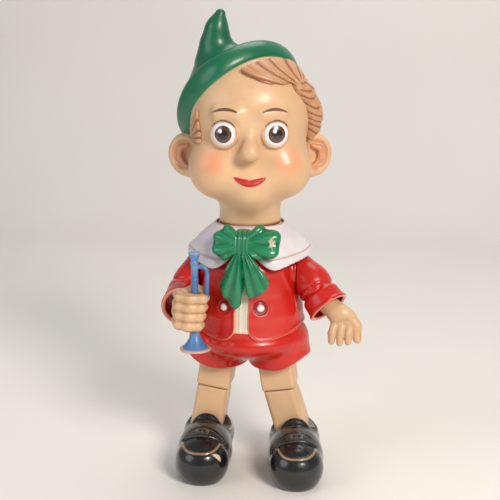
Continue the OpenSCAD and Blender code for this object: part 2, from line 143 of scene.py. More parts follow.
def turned(rx=0.0, ry=0.0, rz=0.0):
    """Columns are the turned axes: X first, then Y, then Z, in degrees, as in the CAD source."""
    a, b, c = (math.radians(v) for v in (rx, ry, rz))
    mx = np.array([[1, 0, 0], [0, math.cos(a), -math.sin(a)], [0, math.sin(a), math.cos(a)]])
    my = np.array([[math.cos(b), 0, math.sin(b)], [0, 1, 0], [-math.sin(b), 0, math.cos(b)]])
    mz = np.array([[math.cos(c), -math.sin(c), 0], [math.sin(c), math.cos(c), 0], [0, 0, 1]])
    return (mz @ my @ mx).astype(np.float32)


def frame_at(origin, turn):
    """A local frame: takes points of the body's frame into it."""
    origin = np.asarray(origin, np.float32)
    return lambda p: (p - origin) @ turn


def torso_r(z):
    z = np.clip(z, TORSO_Z[0], TORSO_Z[-1])
    i = np.clip(np.searchsorted(TORSO_Z, z) - 1, 0, len(TORSO_Z) - 2)
    zs, rs = np.array(TORSO_Z, np.float32), np.array(TORSO_R, np.float32)
    t = (z - zs[i]) / (zs[i + 1] - zs[i])
    return rs[i] + (rs[i + 1] - rs[i]) * (1 - np.cos(math.pi * t)) / 2


# ---- meshing

BLOCK = 8
EDGES = [(a, b) for a in range(8) for b in range(a + 1, 8) if bin(a ^ b).count("1") == 1]


def sample(f, lo, n, step):
    """f on a grid, worked out in full only in blocks near the surface."""
    blocks = [-(-k // BLOCK) for k in n]
    v = np.zeros((blocks[0], BLOCK, blocks[1], BLOCK, blocks[2], BLOCK), np.float32)
    bi = np.stack(np.meshgrid(*(np.arange(b) for b in blocks), indexing="ij"), -1).reshape(-1, 3)
    centre = lo + (bi * BLOCK + (BLOCK - 1) / 2) * step
    mid = f(centre.astype(np.float32))
    reach = 1.5 * math.sqrt(3) * BLOCK / 2 * step + 3
    near = np.abs(mid) < reach
    v[:] = mid.reshape(blocks)[:, None, :, None, :, None]
    inner = np.stack(np.meshgrid(*(np.arange(BLOCK),) * 3, indexing="ij"), -1).reshape(-1, 3)
    todo = bi[near]
    for at in range(0, len(todo), 1500):
        part = todo[at : at + 1500]
        p = lo + (part[:, None, :] * BLOCK + inner[None]) * step
        d = f(p.reshape(-1, 3).astype(np.float32)).reshape(-1, BLOCK, BLOCK, BLOCK)
        for (i, j, k), e in zip(part, d):
            v[i, :, j, :, k, :] = e
    return v.reshape([b * BLOCK for b in blocks])


def surface_nets(v):
    inside = v < 0
    n = v.shape
    count = np.zeros([k - 1 for k in n], np.uint8)
    for c in range(8):
        x, y, z = c & 1, c >> 1 & 1, c >> 2 & 1
        count += inside[x : n[0] - 1 + x, y : n[1] - 1 + y, z : n[2] - 1 + z]
    active = (count > 0) & (count < 8)
    cells = np.argwhere(active)
    number = np.full(count.shape, -1, np.int64)
    number[active] = np.arange(len(cells))
    total, crossings = np.zeros((len(cells), 3)), np.zeros(len(cells))
    for a, b in EDGES:
        oa = np.array([a & 1, a >> 1 & 1, a >> 2 & 1])
        ob = np.array([b & 1, b >> 1 & 1, b >> 2 & 1])
        va, vb = v[tuple((cells + oa).T)], v[tuple((cells + ob).T)]
        hit = (va < 0) != (vb < 0)
        t = va[hit] / (va[hit] - vb[hit])
        total[hit] += oa + t[:, None] * (ob - oa)
        crossings[hit] += 1
    points = cells + total / crossings[:, None]
    faces = []
    for axis in range(3):
        u, w = (axis + 1) % 3, (axis + 2) % 3
        lower = [slice(None)] * 3
        upper = [slice(None)] * 3
        lower[axis], upper[axis] = slice(0, -1), slice(1, None)
        start = np.argwhere(inside[tuple(lower)] != inside[tuple(upper)])
        start = start[(start[:, u] > 0) & (start[:, w] > 0)]
        start = start[(start[:, u] < n[u] - 1) & (start[:, w] < n[w] - 1)]
        outward = inside[tuple(start.T)]

        def cell(du, dw):
            at = start.copy()
            at[:, u] -= du
            at[:, w] -= dw
            return number[tuple(at.T)]

        quad = np.stack([cell(1, 1), cell(0, 1), cell(0, 0), cell(1, 0)], 1)
        quad[~outward] = quad[~outward][:, ::-1]
        faces.append(quad)
    return points, np.concatenate(faces)


def slope(f, p, h=0.15):
    g = np.empty_like(p)
    for i in range(3):
        step = np.zeros(3, np.float32)
        step[i] = h
        g[:, i] = (f(p + step) - f(p - step)) / (2 * h)
    return g


def sculpt(name, f, lo, hi, step, marks=None, turn=None, origin=(0, 0, 0)):
    """Meshes f = 0 between lo and hi, in the piece's own frame, and puts it in the row's frame.
    marks is {attribute: function of the points}, each a distance or a share for the material."""
    step *= COARSE
    lo, hi = np.array(lo, float), np.array(hi, float)
    n = np.ceil((hi - lo) / step).astype(int) + 2
    points, faces = surface_nets(sample(f, lo - step / 2, n, step))
    p = (lo - step / 2 + points * step).astype(np.float32)
    for _ in range(3):
        g = slope(f, p)
        move = f(p)[:, None] * g / np.maximum((g * g).sum(-1, keepdims=True), 0.2)
        p -= np.clip(move, -step / 2, step / 2)
    normals = slope(f, p)
    normals /= np.maximum(length(normals)[:, None], 1e-6)
    mesh = bpy.data.meshes.new(name)
    mesh.vertices.add(len(p))
    mesh.loops.add(faces.size)
    mesh.polygons.add(len(faces))
    mesh.loops.foreach_set("vertex_index", faces.ravel().astype(np.int32))
    mesh.polygons.foreach_set("loop_start", np.arange(0, faces.size, 4, dtype=np.int32))
    turn = np.eye(3) if turn is None else turn
    world = (p @ turn.T + np.asarray(origin, float) + NECK) * 0.001
    mesh.vertices.foreach_set("co", world.astype(np.float32).ravel())
    mesh.update(calc_edges=True)
    mesh.validate()
    for key, mark in (marks or {}).items():
        data = mesh.attributes.new(key, "FLOAT", "POINT").data
        data.foreach_set("value", np.asarray(mark(p), np.float32))
    mesh.polygons.foreach_set("use_smooth", np.ones(len(mesh.polygons), bool))
    mesh.normals_split_custom_set_from_vertices((normals @ turn.T).astype(float).tolist())
    piece = bpy.data.objects.new(name, mesh)
    bpy.context.scene.collection.objects.link(piece)
    return piece


# ---- materials


class Paint:
    """A procedural vinyl paint: base colour with soft variation, marks painted over it, grain and wear."""

    def __init__(self, name):
        self.material = bpy.data.materials.new(name)
        self.material.use_nodes = True
        self.tree = self.material.node_tree
        self.tree.nodes.clear()
        coords = self.node("ShaderNodeTexCoord")
        self.at = coords.outputs["Object"]

    def node(self, kind, settings=None, **inputs):
        n = self.tree.nodes.new(kind)
        for key, value in (settings or {}).items():
            setattr(n, key, value)
        for key, value in inputs.items():
            self.feed(n.inputs[int(key[1:]) if key[0] == "i" else key.replace("_", " ")], value)
        return n

    def feed(self, socket, value):
        if isinstance(value, bpy.types.NodeSocket):
            self.tree.links.new(value, socket)
        elif isinstance(value, tuple) and len(value) == 3 and socket.type == "RGBA":
            socket.default_value = (*value, 1)
        else:
            socket.default_value = value

    def noise(self, scale, detail=3.0, roughness=0.5):
        return self.node(
            "ShaderNodeTexNoise", Vector=self.at, Scale=scale, Detail=detail, Roughness=roughness
        ).outputs["Fac"]

    def ramp(self, value, lo, hi, out_lo=0.0, out_hi=1.0):
        n = self.node("ShaderNodeMapRange", {"interpolation_type": "SMOOTHSTEP"}, Value=value)
        for key, x in (("From Min", lo), ("From Max", hi), ("To Min", out_lo), ("To Max", out_hi)):
            n.inputs[key].default_value = x
        return n.outputs["Result"]

    def mark(self, name):
        return self.node("ShaderNodeAttribute", {"attribute_name": name}).outputs["Fac"]

    def times(self, a, b):
        return self.node("ShaderNodeMath", {"operation": "MULTIPLY"}, i0=a, i1=b).outputs[0]

    def mix(self, share, a, b):
        n = self.node("ShaderNodeMix", {"data_type": "RGBA"})
        self.feed(n.inputs[0], share)
        self.feed(n.inputs[6], a)
        self.feed(n.inputs[7], b)
        return n.outputs[2]

    def finish(self, colour, rough, bump_height, strength, coat=0.0, skin=0.0, metal=0.0):
        bumped = self.node(
            "ShaderNodeBump", Height=bump_height, Strength=strength, Distance=0.0006
        )
        shader = self.node("ShaderNodeBsdfPrincipled", Base_Color=colour, Roughness=rough)
        self.feed(shader.inputs["Normal"], bumped.outputs["Normal"])
        shader.inputs["Coat Weight"].default_value = coat
        shader.inputs["Coat Roughness"].default_value = 0.12
        shader.inputs["Metallic"].default_value = metal
        shader.inputs["Subsurface Weight"].default_value = skin
        shader.inputs["Subsurface Radius"].default_value = (1.0, 0.45, 0.25)
        shader.inputs["Subsurface Scale"].default_value = 0.004
        out = self.node("ShaderNodeOutputMaterial")
        self.feed(out.inputs["Surface"], shader.outputs["BSDF"])
        return self.material


def scaled(colour, k):
    return tuple(min(1.0, c * k) for c in colour)


def vinyl(name, colour, under, marks=(), rough=0.32, coat=0.3, skin=0.0, wear=0.0, vary=0.12, tint=None):
    """marks are (attribute, low, high, colour, share): the colour comes in from low to high."""
    m = Paint(name)
    broad, fine, grain = m.noise(22, 3), m.noise(150, 5, 0.6), m.noise(1100, 2)
    c = m.mix(m.ramp(broad, 0.3, 0.7), scaled(colour, 1 - vary), scaled(colour, 1 + vary / 2))
    if tint:
        c = m.mix(m.ramp(m.noise(45, 4, 0.6), 0.45, 0.75, 0, 0.5), c, tint)
    c = m.mix(m.ramp(fine, 0.62, 0.75, 0, 0.25), c, scaled(colour, 0.7))
    for mark, low, high, over, share in marks:
        c = m.mix(m.ramp(m.mark(mark), low, high, 0, share), c, over)
    if wear:
        chips = m.ramp(m.noise(95, 8, 0.72), 0.72 - wear * 0.1, 0.74 - wear * 0.1)
        c = m.mix(m.times(chips, min(1.0, wear * 4)), c, under)
    roughness = m.ramp(m.noise(60, 5, 0.6), 0.25, 0.8, rough - 0.06, rough + 0.14)
    height = m.node("ShaderNodeMath", {"operation": "MULTIPLY_ADD"}, i0=fine, i1=0.6, i2=grain).outputs[0]
    return m.finish(c, roughness, height, 0.05, coat, skin)


SKIN = (0.70, 0.445, 0.25)
CREAM = (0.83, 0.66, 0.46)
RED = (0.58, 0.012, 0.005)
GREEN = (0.003, 0.145, 0.062)
WHITE = (0.74, 0.70, 0.74)
BLACK = (0.009, 0.009, 0.010)
BLUE = (0.07, 0.20, 0.46)
PINK = (0.78, 0.36, 0.27)
# red in shade: painted in the dimple round the left button and inside the cuffs
SHADE_RED = (0.16, 0.006, 0.008)
UNDER_BLACK = (0.24, 0.13, 0.08)
RED_GLOSS = dict(rough=0.3, coat=0.25, wear=0.1)
LIMB = dict(rough=0.42, coat=0.1, skin=0.12)
HAND = dict(rough=0.4, coat=0.15, skin=0.12)


def place(piece, body, slot, material, *nodes):
    piece.data.materials.append(material)
    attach(piece, body)
    if nodes:
        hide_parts(*nodes)
    return piece


# ---- torso, jacket, shirt and shorts


def around(p):
    """Distance from the neck's axis, angle from the front in degrees (positive to +X)."""
    return np.hypot(p[:, 0], p[:, 1]), np.degrees(np.arctan2(p[:, 0], -p[:, 1]))


CORNER = 14
OPENING = 6


def jacket_hem(p):
    _, a = around(p)
    return HEM + 9 * smooth(np.abs(a), 22, 80)


def jacket_edge(p):
    """Negative inside the jacket's outline, seen from the front and round the hem."""
    hem = jacket_hem(p)
    qx = OPENING + CORNER - np.abs(p[:, 0])
    qz = hem + CORNER - p[:, 2]
    qx = np.where(p[:, 1] < 0, qx, -50)
    return np.where((qx > 0) & (qz > 0), np.hypot(qx, qz), np.maximum(qx, qz)) - CORNER


BUTTON_TURN, BUTTON_Z = 20.5, 172.5


def button_gap(p, side):
    _, a = around(p)
    return np.hypot(np.radians(a - side * BUTTON_TURN) * 50, p[:, 2] - BUTTON_Z)


def jacket(p):
    r, a = around(p)
    edge = jacket_edge(p)
    out = torso_r(p[:, 2]) + CLOTH + 0.9 * bump(edge + 1.6, 1.7)
    for side in (-1, 1):
        b = button_gap(p, side)
        out = out - 0.9 * bump(b - 5.4, 1.4) + 0.5 * bump(b - 7.6, 1.2)
        fold = np.abs(a) - 58 - 8 * np.sin((p[:, 2] - 150) / 14)
        out = out + 0.7 * bump(fold, 3.5) * smooth(p[:, 2], 150, 175)
    d = both(r - out, torso_r(p[:, 2]) - 1.2 - r, 0.5)
    d = both(both(d, edge, 1.6), p[:, 2] - 229, 1)
    off = np.hypot(p[:, 1], p[:, 2] - SHOULDER[2])
    boss = both(off - 16.6, np.abs(np.abs(p[:, 0]) - 41) - 6.6, 1.2)
    return join(d, both(boss, torso_r(p[:, 2]) - 1.2 - r), 3)


place(
    sculpt(
        "jacket_shell", jacket, (-62, -62, 134), (62, 62, 232), 1.25,
        {
            "edge": lambda p: -jacket_edge(p),
            # painted shade: darker red in the dimple round the figure's left button
            "button": lambda p: 8 - button_gap(p, 1),
            # painted highlight: lighter red on the jacket's front, on the figure's left below the chest
            "painted_sheen": lambda p: smooth(p[:, 0], 4, 16) * smooth(-p[:, 1], 20, 40) * smooth(p[:, 2], 205, 185),
        },
    ),
    "torso", "red_vinyl",
    vinyl(
        "red_jacket", RED, SKIN,
        [
            # painted highlight on the jacket's front
            ("painted_sheen", 0.0, 1.0, (0.60, 0.045, 0.03), 0.5),
            ("button", 0.0, 1.6, SHADE_RED, 0.75),
            ("edge", 1.7, 0.5, PINK, 0.9),
        ],
        **RED_GLOSS,
    ),
    "jacket",
)


def torso_shell(p):
    r, _ = around(p)
    z = p[:, 2]
    d = both(r - torso_r(z), torso_r(z) - 2.5 - r)
    d = both(d, np.maximum(z - 246.6, 128 - z), 0.8)
    lip = both(both(r - 31, 22 - r), np.maximum(z - 246.6, 243 - z), 0.8)
    floor = both(r - 49.5, np.maximum(128 - z, z - 130.5), 0.8)
    d = np.minimum(np.minimum(d, lip), floor)
    return carve(d, np.maximum(150 - p[:, 2], p[:, 0] + 44), 1)


place(
    sculpt("torso_moulding", torso_shell, (-54, -54, 125), (54, 54, 250), 1.6),
    "torso", "skin_vinyl",
    vinyl("torso_vinyl", SKIN, CREAM, rough=0.4, skin=0.1),
    "torso_shell",
)


def shirt(p):
    r, _ = around(p)
    fold = 0.6 * bump(np.abs(p[:, 0] - 1.5) - 3.2, 1.1)
    d = both(r - torso_r(p[:, 2]) - 1.4 - fold, torso_r(p[:, 2]) - 1.5 - r, 0.4)
    outline = both(np.abs(p[:, 0]) - 9, np.maximum(147.5 - p[:, 2], p[:, 2] - 232), 1.5)
    hem = 0.8 * bump(p[:, 2] - 150.2, 1.0)
    return np.maximum(both(d - hem, outline, 1), p[:, 1])


place(
    sculpt(
        "shirt_strip", shirt, (-12, -58, 144), (12, -26, 236), 0.9,
        {"hem": lambda p: 3.2 - np.abs(p[:, 2] - 149.4), "low": lambda p: p[:, 2]},
    ),
    "torso", "white_vinyl",
    vinyl(
        "shirt_paint", (0.66, 0.66, 0.52), CREAM,
        [("low", 205, 178, (0.70, 0.64, 0.50), 0.8), ("hem", 0.4, 1.6, (0.80, 0.62, 0.42), 0.7)],
        rough=0.36, wear=0.1,
    ),
    "shirt_front",
)


def shorts_hem(p):
    x = np.abs(p[:, 0] + 1)
    return 103.8 + 9.5 * np.clip((x - 20) / 38, 0, 1) ** 2 + np.where(p[:, 0] > 0, 3, 0) * smooth(x, 30, 60)


def shorts_legs(p, shrink):
    d = None
    for side in (-1, 1):
        x = side * 30 - 1
        e = chain(p, [(x - side * 2, 0, 136, 26 - shrink), (x + side, -1, 114, 30.5 - shrink),
                      (x + side * 3.5, -1, 98, 27.5 - shrink)], 3)
        d = e if d is None else join(d, e, 1.5)
    return d


def waistband(p):
    r, _ = around(p)
    return both(r - torso_r(p[:, 2]) - 1.3, np.abs(p[:, 2] - 142) - 6.2, 0.8)


def shorts(p):
    waist = egg(p, (-1, 0, 134), (58, 56, 22))
    d = join(waist, shorts_legs(p, 0), 9)
    d += 0.5 * bump(np.abs(p[:, 0] + 22) - 6 - 0.2 * (p[:, 2] - 112), 2.2) * smooth(-p[:, 1], 0, 20)
    d = both(d, shorts_hem(p) - p[:, 2], 2.2)
    d = np.minimum(both(d, p[:, 2] - 149, 1), waistband(p))
    d = carve(d, both(shorts_legs(p, 4), p[:, 2] - 117), 0.8)
    for side in (-1, 1):
        q = frame_at(KNEE[side], turned(0, -side * SPLAY))(p)
        d = np.maximum(d, -slab(q, (0, -12, 30), (17, 18.6, 30), 2))
    return d


place(
    sculpt(
        "shorts_shell", shorts, (-66, -62, 100), (66, 62, 152), 1.35,
        {"hem": lambda p: p[:, 2] - shorts_hem(p)},
    ),
    "torso", "red_vinyl",
    vinyl("red_shorts", RED, SKIN, [("hem", 1.3, 0.3, PINK, 0.85)], rough=0.29, coat=0.28, wear=0.06),
    "shorts",
)

# ---- buttons

for side, label in ((-1, "right"), (1, "left")):
    turn = turned(0, 0, side * BUTTON_TURN) @ turned(90)
    at = turned(0, 0, side * BUTTON_TURN) @ np.array([0, -50, BUTTON_Z])

    def button(q):
        return join(egg(q, (0, 0, 0.4), (3.7, 3.7, 2.5)), stick(q, (0, 0, -1), (0, 0, 0), 3.4, 3.6), 0.6)

    piece = sculpt("button_" + label, button, (-6, -6, -5), (6, 6, 5), 0.5,
                   {"rim": lambda q: np.hypot(q[:, 0], q[:, 1])}, turn=turn, origin=at)
    place(piece, "torso", "white_vinyl",
          vinyl("button_paint_" + label, (0.78, 0.75, 0.72), CREAM,
                [("rim", 3.0, 3.9, (0.55, 0.35, 0.28), 0.7)], rough=0.3, wear=0.25),
          *(["jacket_buttons"] if side < 0 else []))

# ---- collar and bow

COLLAR_IN = 32.0


def collar_shape(p):
    r, a = around(p)
    c = np.cos(np.radians(a))
    reach = 61 * (1 - c * c) + 50 * c * c
    drop = 25 + 14 * np.maximum(c, 0) ** 2
    s = np.clip((r - COLLAR_IN) / (reach - COLLAR_IN), 0, 1.2)
    height = 246.2 - drop * s**1.3 + 0.7 * np.sin(np.radians(a) * 9) * s * smooth(-c, -0.9, 0.2)
    steep = drop * 1.3 / (reach - COLLAR_IN)
    return r, reach, (p[:, 2] - height) / np.sqrt(1 + steep * steep)


def collar_outline(p):
    r, reach, _ = collar_shape(p)
    half = 4 + 0.78 * np.clip(228 - p[:, 2], 0, 40)
    notch = np.minimum(half - np.abs(p[:, 0] - 0.5), 228 - p[:, 2])
    notch = np.where(p[:, 1] < 0, notch, -30) * 0.8
    return both(both(r - reach, COLLAR_IN - r), notch, 12)


def collar(p):
    _, _, height = collar_shape(p)
    edge = collar_outline(p)
    thick = 1.3 + 0.7 * bump(edge + 1.3, 1.5)
    return both(np.abs(height + 0.6) - thick, edge, 1.6)


place(
    sculpt(
        "collar_sheet", collar, (-66, -58, 202), (66, 66, 252), 1.15,
        {
            "edge": lambda p: np.abs(collar_outline(p) + 1.7),
            # painted shade: the collar greys towards the figure's right, away from the key light
            "painted_shade_side": lambda p: smooth(-p[:, 0], -10, 40),
            "neck": lambda p: COLLAR_IN + 2 - around(p)[0],
        },
    ),
    "torso", "white_vinyl",
    vinyl(
        "collar_paint", WHITE, CREAM,
        [
            ("painted_shade_side", 0.2, 1.0, (0.56, 0.52, 0.58), 0.45),
            ("edge", 0.9, 0.3, (0.50, 0.31, 0.22), 0.75),
            ("neck", 0.0, 1.2, (0.30, 0.09, 0.06), 0.9),
        ],
        rough=0.36, wear=0.14, tint=(0.66, 0.58, 0.60),
    ),
    "collar",
)

BOW = (0.5, -53.0, 236.0)
LOOP_FOLDS, TAIL_FOLDS, TAIL_PHASE = 12, 26, 0.9
KNOT_PLEAT = 1.45
BOW_LEAN, LEAN_FROM = 0.42, 226


def fan(p, folds, phase=0.0):
    """A ripple that runs out from the knot."""
    a = np.arctan2(p[:, 0] - BOW[0], p[:, 2] - BOW[2])
    far = np.hypot(p[:, 0] - BOW[0], p[:, 2] - BOW[2])
    return np.cos(a * folds + phase) * smooth(far, 3, 16)


def laid_back(p):
    """Leans the bow back on to the slope of the collar above its tails."""
    q = np.array(p, np.float32)
    q[:, 1] -= BOW_LEAN * np.clip(p[:, 2] - LEAN_FROM, 0, 30)
    return q


def bow_knot(p):
    p = laid_back(p)
    q = frame_at(BOW, turned(8))(p)
    d = join(slab(q, (0, 1, 0), (8.8, 8.5, 10.8), 5), stick(q, (0, 8, -4), (0, 12, -6), 6, 5), 3)
    d += 0.06 * np.abs(q[:, 2]) * smooth(np.abs(q[:, 0]), 4, 9)
    return d + 0.6 * np.cos(q[:, 0] * KNOT_PLEAT) * smooth(-q[:, 1], 0, 5)


def bow_loops(p):
    p = laid_back(p)
    left = chain(p, [(-5, -54, 237, 7), (-14, -56, 241.5, 8.5), (-18.5, -54, 236, 8.8), (-17, -53, 229.5, 8),
                     (-8, -53, 231, 7)], 5)
    right = chain(p, [(6, -54, 237, 7), (17, -56, 242, 8.6), (27, -53, 238, 8.8), (25, -52, 229.5, 8),
                      (12, -52, 230, 7.5)], 5)
    d = np.minimum(left, right)
    flat = np.abs(p[:, 1] + 52.5 - 0.16 * (np.abs(p[:, 0] - 3) - 12)) - 8.2
    d = both(d, flat, 6)
    return d + 1.05 * fan(p, LOOP_FOLDS) * smooth(-p[:, 1], 46, 54)


def bow_tails(p):
    left = chain(p, [(-1, -53, 229, 4), (-5, -55, 210, 8), (-8.6, -56, 195, 10.8), (-5.5, -56, 180, 6.2)], 4)
    right = chain(p, [(3, -53, 229, 4), (8.5, -55, 212, 7.5), (14.6, -55, 199, 10.8),
                      (11.5, -55, 190.5, 6)], 4)
    flat = np.abs(p[:, 1] + 54.2 + 0.05 * (p[:, 2] - 200)) - 5.6
    d = join(both(left, flat, 4), both(right, flat, 4), 0.8)
    return d + 0.9 * fan(p, TAIL_FOLDS, TAIL_PHASE) * smooth(-p[:, 1], 53, 58)


def bow_loss(p):
    """An irregular patch where the green has rubbed off the loop on the figure's left."""
    p = laid_back(p)
    q = (p - vec(29, -60, 237)) * vec(1.1, 0.4, 0.6)
    ragged = np.sin(1.7 * p[:, 0] + 1) * np.sin(1.1 * p[:, 2] + 0.8 * p[:, 0])
    return 3.4 - length(q) + 1.2 * ragged


BOW_GREEN = (0.006, 0.215, 0.088)
bow_gloss = dict(rough=0.25, coat=0.4)
# painted shade: darker green in the bottoms of the folds of the knot, loops and tails
fold_shade_mark = ("fold", 0.3, 1.0, scaled(GREEN, 0.5), 0.6)
loss_mark = ("loss", 0.0, 1.2, (0.62, 0.55, 0.36), 0.85)
edge_mark = ("edge", 1.2, 0.4, (0.60, 0.50, 0.32), 0.7)
place(sculpt("bow_knot_folds", bow_knot, (-12, -66, 220), (13, -34, 252), 0.75,
             {"fold": lambda p: np.cos((p[:, 0] - BOW[0]) * KNOT_PLEAT)}),
      "torso", "green_vinyl",
      vinyl("green_knot", BOW_GREEN, CREAM, [fold_shade_mark], wear=0.1, **bow_gloss), "bow_knot")
place(sculpt("bow_loops_folds", bow_loops, (-32, -68, 216), (40, -40, 254), 0.8,
             {"fold": lambda p: fan(p, LOOP_FOLDS), "loss": bow_loss}),
      "torso", "green_vinyl",
      vinyl("green_loops", BOW_GREEN, CREAM, [fold_shade_mark, loss_mark], wear=0.15, **bow_gloss), "bow_loops")
place(sculpt("bow_tails_folds", bow_tails, (-24, -66, 168), (30, -44, 236), 0.8,
             {"fold": lambda p: fan(p, TAIL_FOLDS, TAIL_PHASE), "edge": lambda p: np.abs(p[:, 1] + 51.6)}),
      "torso", "green_vinyl",
      vinyl("green_tails", BOW_GREEN, CREAM, [fold_shade_mark, edge_mark], wear=0.12, **bow_gloss), "bow_tails")

# ---- legs and shoes


def thigh(q):
    d = slab(q, (0, -12, 23.2), (16.5, 18, 23), 3)
    knuckle = both(np.hypot(q[:, 1], q[:, 2]) - 5, np.abs(q[:, 0]) - 14.5, 0.5)
    slot = slab(q, (0, 4, 0), (6.5, 12, 9), 0.4)
    return np.maximum(join(d, knuckle, 0.4), -slot)


def shin_field(side):
    def shin(q):
        t = np.clip(-q[:, 2] / 58, 0, 1)
        r = q.copy()
        r[:, 0] -= side * ANKLE_SLIP[side] * t
        w, h = 15.4 + 1.1 * t, 17 - t
        e = np.stack([np.abs(r[:, 0]) - w, np.abs(r[:, 1] + 12) - h], 1) + 5
        d = length(np.maximum(e, 0)) + np.minimum(e.max(1), 0) - 5
        d = both(d, np.maximum(q[:, 2] + 0.25, -58 - q[:, 2]), 1.2)
        d = np.maximum(d, 5.3 - np.hypot(q[:, 1], q[:, 2]))
        w2 = q @ turned(-62)
        d = np.maximum(d, -np.maximum(-w2[:, 1], -0.3 - w2[:, 2]))
        tongue = both(np.hypot(q[:, 1], q[:, 2]) - 5, np.abs(q[:, 0]) - 6, 0.5)
        stem = slab(q, (0, -1, -6), (6, 2.5, 6), 0.3)
        return np.minimum(d, np.minimum(tongue, stem))

    return shin


def shoe_last(q, grow=0.0):
    return chain(q, [(0, -57, 18, 26.3 + grow), (0, -38, 21, 25.5 + grow), (0, -8, 28, 23.5 + grow),
                     (0, 8, 23, 24 + grow)], 7)


def apron(q):
    """Distance from the moccasin line over the toe: negative inside it."""
    v = np.maximum(-(q[:, 1] + 56) * 0.6 - (q[:, 2] - 44) * 0.8, 0) / 21.5
    return (((np.abs(q[:, 0]) / 18.5) ** 2.6 + v**2.6) ** (1 / 2.6) - 1) * 18.5


def top_line(q):
    """Height of the shoe's opening at each point."""
    return 37.5 + 14 * smooth(-q[:, 1], 17, 30) + 12.5 * smooth(q[:, 1], -12, 20)


STRAP_Y = -54.5


def shoe(q):
    z = q[:, 2]
    d = shoe_last(q)
    front = smooth(-q[:, 1], 56, 62) * smooth(z, 18, 24)
    d -= 0.9 * bump(apron(q), 1.5) * front
    d += 0.9 * smooth(-apron(q), 0.6, 2.6) * front
    d = both(d, z - top_line(q), 2.0)
    d = np.maximum(d, 0.1 - z)
    tongue = egg(q, (0, -26.5, 42), (14, 4.6, 13), turned(-14))
    d = join(d, tongue, 3.0)
    return d + 0.7 * bump(np.abs(q[:, 1] + 44 + 0.02 * q[:, 0] ** 2) - 0.3, 0.9) * smooth(z, 34, 40)


def strap(q):
    band = both(shoe_last(q, 1.7), -shoe_last(q, -1.0))
    band = both(band, np.abs(q[:, 1] - STRAP_Y) - 5.2 + 0.006 * q[:, 0] ** 2, 1.4)
    return both(band, 36.5 - q[:, 2], 1.4)


def buckle(q):
    c = (0, STRAP_Y, 46.4)
    ring = slab(q, c, (6.4, 4.9, 1.9), 1.2, turned(6))
    hole = slab(q, c, (3.4, 2.2, 5), 0.6, turned(6))
    keeper = slab(q, c, (1.2, 4, 1.5), 0.6, turned(6))
    return np.minimum(np.maximum(ring, -hole), keeper)


def scuff(q):
    """A thin crescent of bare vinyl on the toe of the figure's right shoe."""
    x, z = q[:, 0] - 16.5, q[:, 2] - 29
    u, w = (x - z) / math.sqrt(2), (x + z) / math.sqrt(2)
    return 1 - np.hypot(u / 7, (w + 0.045 * u * u - 1) / 1.7) - 5 * smooth(q[:, 1], -66, -60)


skin_leg = [("step", 1.0, 0.2, (0.42, 0.22, 0.10), 0.6)]
shoe_marks = [
    ("welt", 0.35, 0.9, (0.42, 0.27, 0.15), 0.75),
    ("rim", 1.6, 0.5, (0.55, 0.38, 0.22), 0.85),
    ("chip", 0.0, 0.5, (0.80, 0.62, 0.42), 0.95),
]
def no_chip(q):
    return np.full(len(q), -1, np.float32)


def add_leg(side, label):
    body = label + "_leg"
    knee_turn = turned(0, -side * SPLAY)
    thigh_piece = sculpt("thigh_block_" + label, thigh, (-20, -34, -7), (20, 12, 48), 1.2,
                         {"step": lambda q: q[:, 2]}, turn=knee_turn, origin=KNEE[side])
    place(thigh_piece, "torso", "skin_vinyl",
          vinyl("thigh_paint_" + label, SKIN, CREAM, skin_leg, **LIMB), "thigh_" + label)
    shin_piece = sculpt("shin_block_" + label, shin_field(side), (-24, -32, -61), (28, 10, 7), 1.2,
                        {"step": lambda q: -q[:, 2]}, turn=knee_turn, origin=KNEE[side])
    place(shin_piece, body, "skin_vinyl",
          vinyl("shin_paint_" + label, SKIN, CREAM, skin_leg, **LIMB), "shin_" + label)


def add_shoe(side, label):
    body = label + "_leg"
    at, turn = (*ANKLE[side], 0), turned(0, 0, SHOE_TURN[side])
    marks = {
        "welt": lambda q: bump(apron(q), 1.3) * smooth(-q[:, 1], 57, 61) * smooth(q[:, 2], 20, 24),
        "rim": lambda q: 1.5 * np.abs(top_line(q) - q[:, 2] - 1.5) + 4 * smooth(-q[:, 1], 19, 23),
        "chip": scuff if side < 0 else no_chip,
    }
    upper = sculpt("shoe_upper_" + label, shoe, (-32, -90, -3), (32, 38, 58), 1.25, marks,
                   turn=turn, origin=at)
    place(upper, body, "black_vinyl",
          vinyl("shoe_paint_" + label, BLACK, UNDER_BLACK, shoe_marks, rough=0.22, coat=0.6, wear=0.2,
                vary=0.3), "shoe_" + label)
    band = sculpt("shoe_strap_band_" + label, strap, (-32, -64, 27), (32, -45, 52), 0.9,
                  {"rim": lambda q: 5.2 - np.abs(q[:, 1] - STRAP_Y)}, turn=turn, origin=at)
    place(band, body, "black_vinyl",
          vinyl("strap_paint_" + label, BLACK, UNDER_BLACK, [("rim", 0.7, 0.1, (0.10, 0.06, 0.04), 0.7)],
                rough=0.24, coat=0.5, wear=0.2, vary=0.3), "shoe_strap_" + label)
    # painted highlight: the buckle's top face is a lighter grey than its sides
    ring = sculpt("shoe_buckle_" + label, buckle, (-8, -62, 41), (8, -47, 51), 0.45,
                  {"top": lambda q: q[:, 2]}, turn=turn, origin=at)
    place(ring, body, "black_vinyl",
          vinyl("buckle_paint_" + label, (0.02, 0.02, 0.022), UNDER_BLACK,
                [("top", 47.0, 47.8, (0.06, 0.05, 0.05), 0.6)], rough=0.25, coat=0.5, wear=0.2, vary=0.3))


for side, label in ((-1, "right"), (1, "left")):
    add_leg(side, label)
    add_shoe(side, label)

# ---- arms

SLEEVE_L = np.array([SHOULDER[0] + 3, 0, SHOULDER[2]])
LEFT_OUT = (LEFT_CUFF - SLEEVE_L) / np.linalg.norm(LEFT_CUFF - SLEEVE_L)


def across(p, centre, out):
    """(distance along a cuff's axis, distance from it)."""
    q = p - np.asarray(centre, np.float32)
    along = q @ out.astype(np.float32)
    return along, length(q - along[:, None] * out.astype(np.float32))


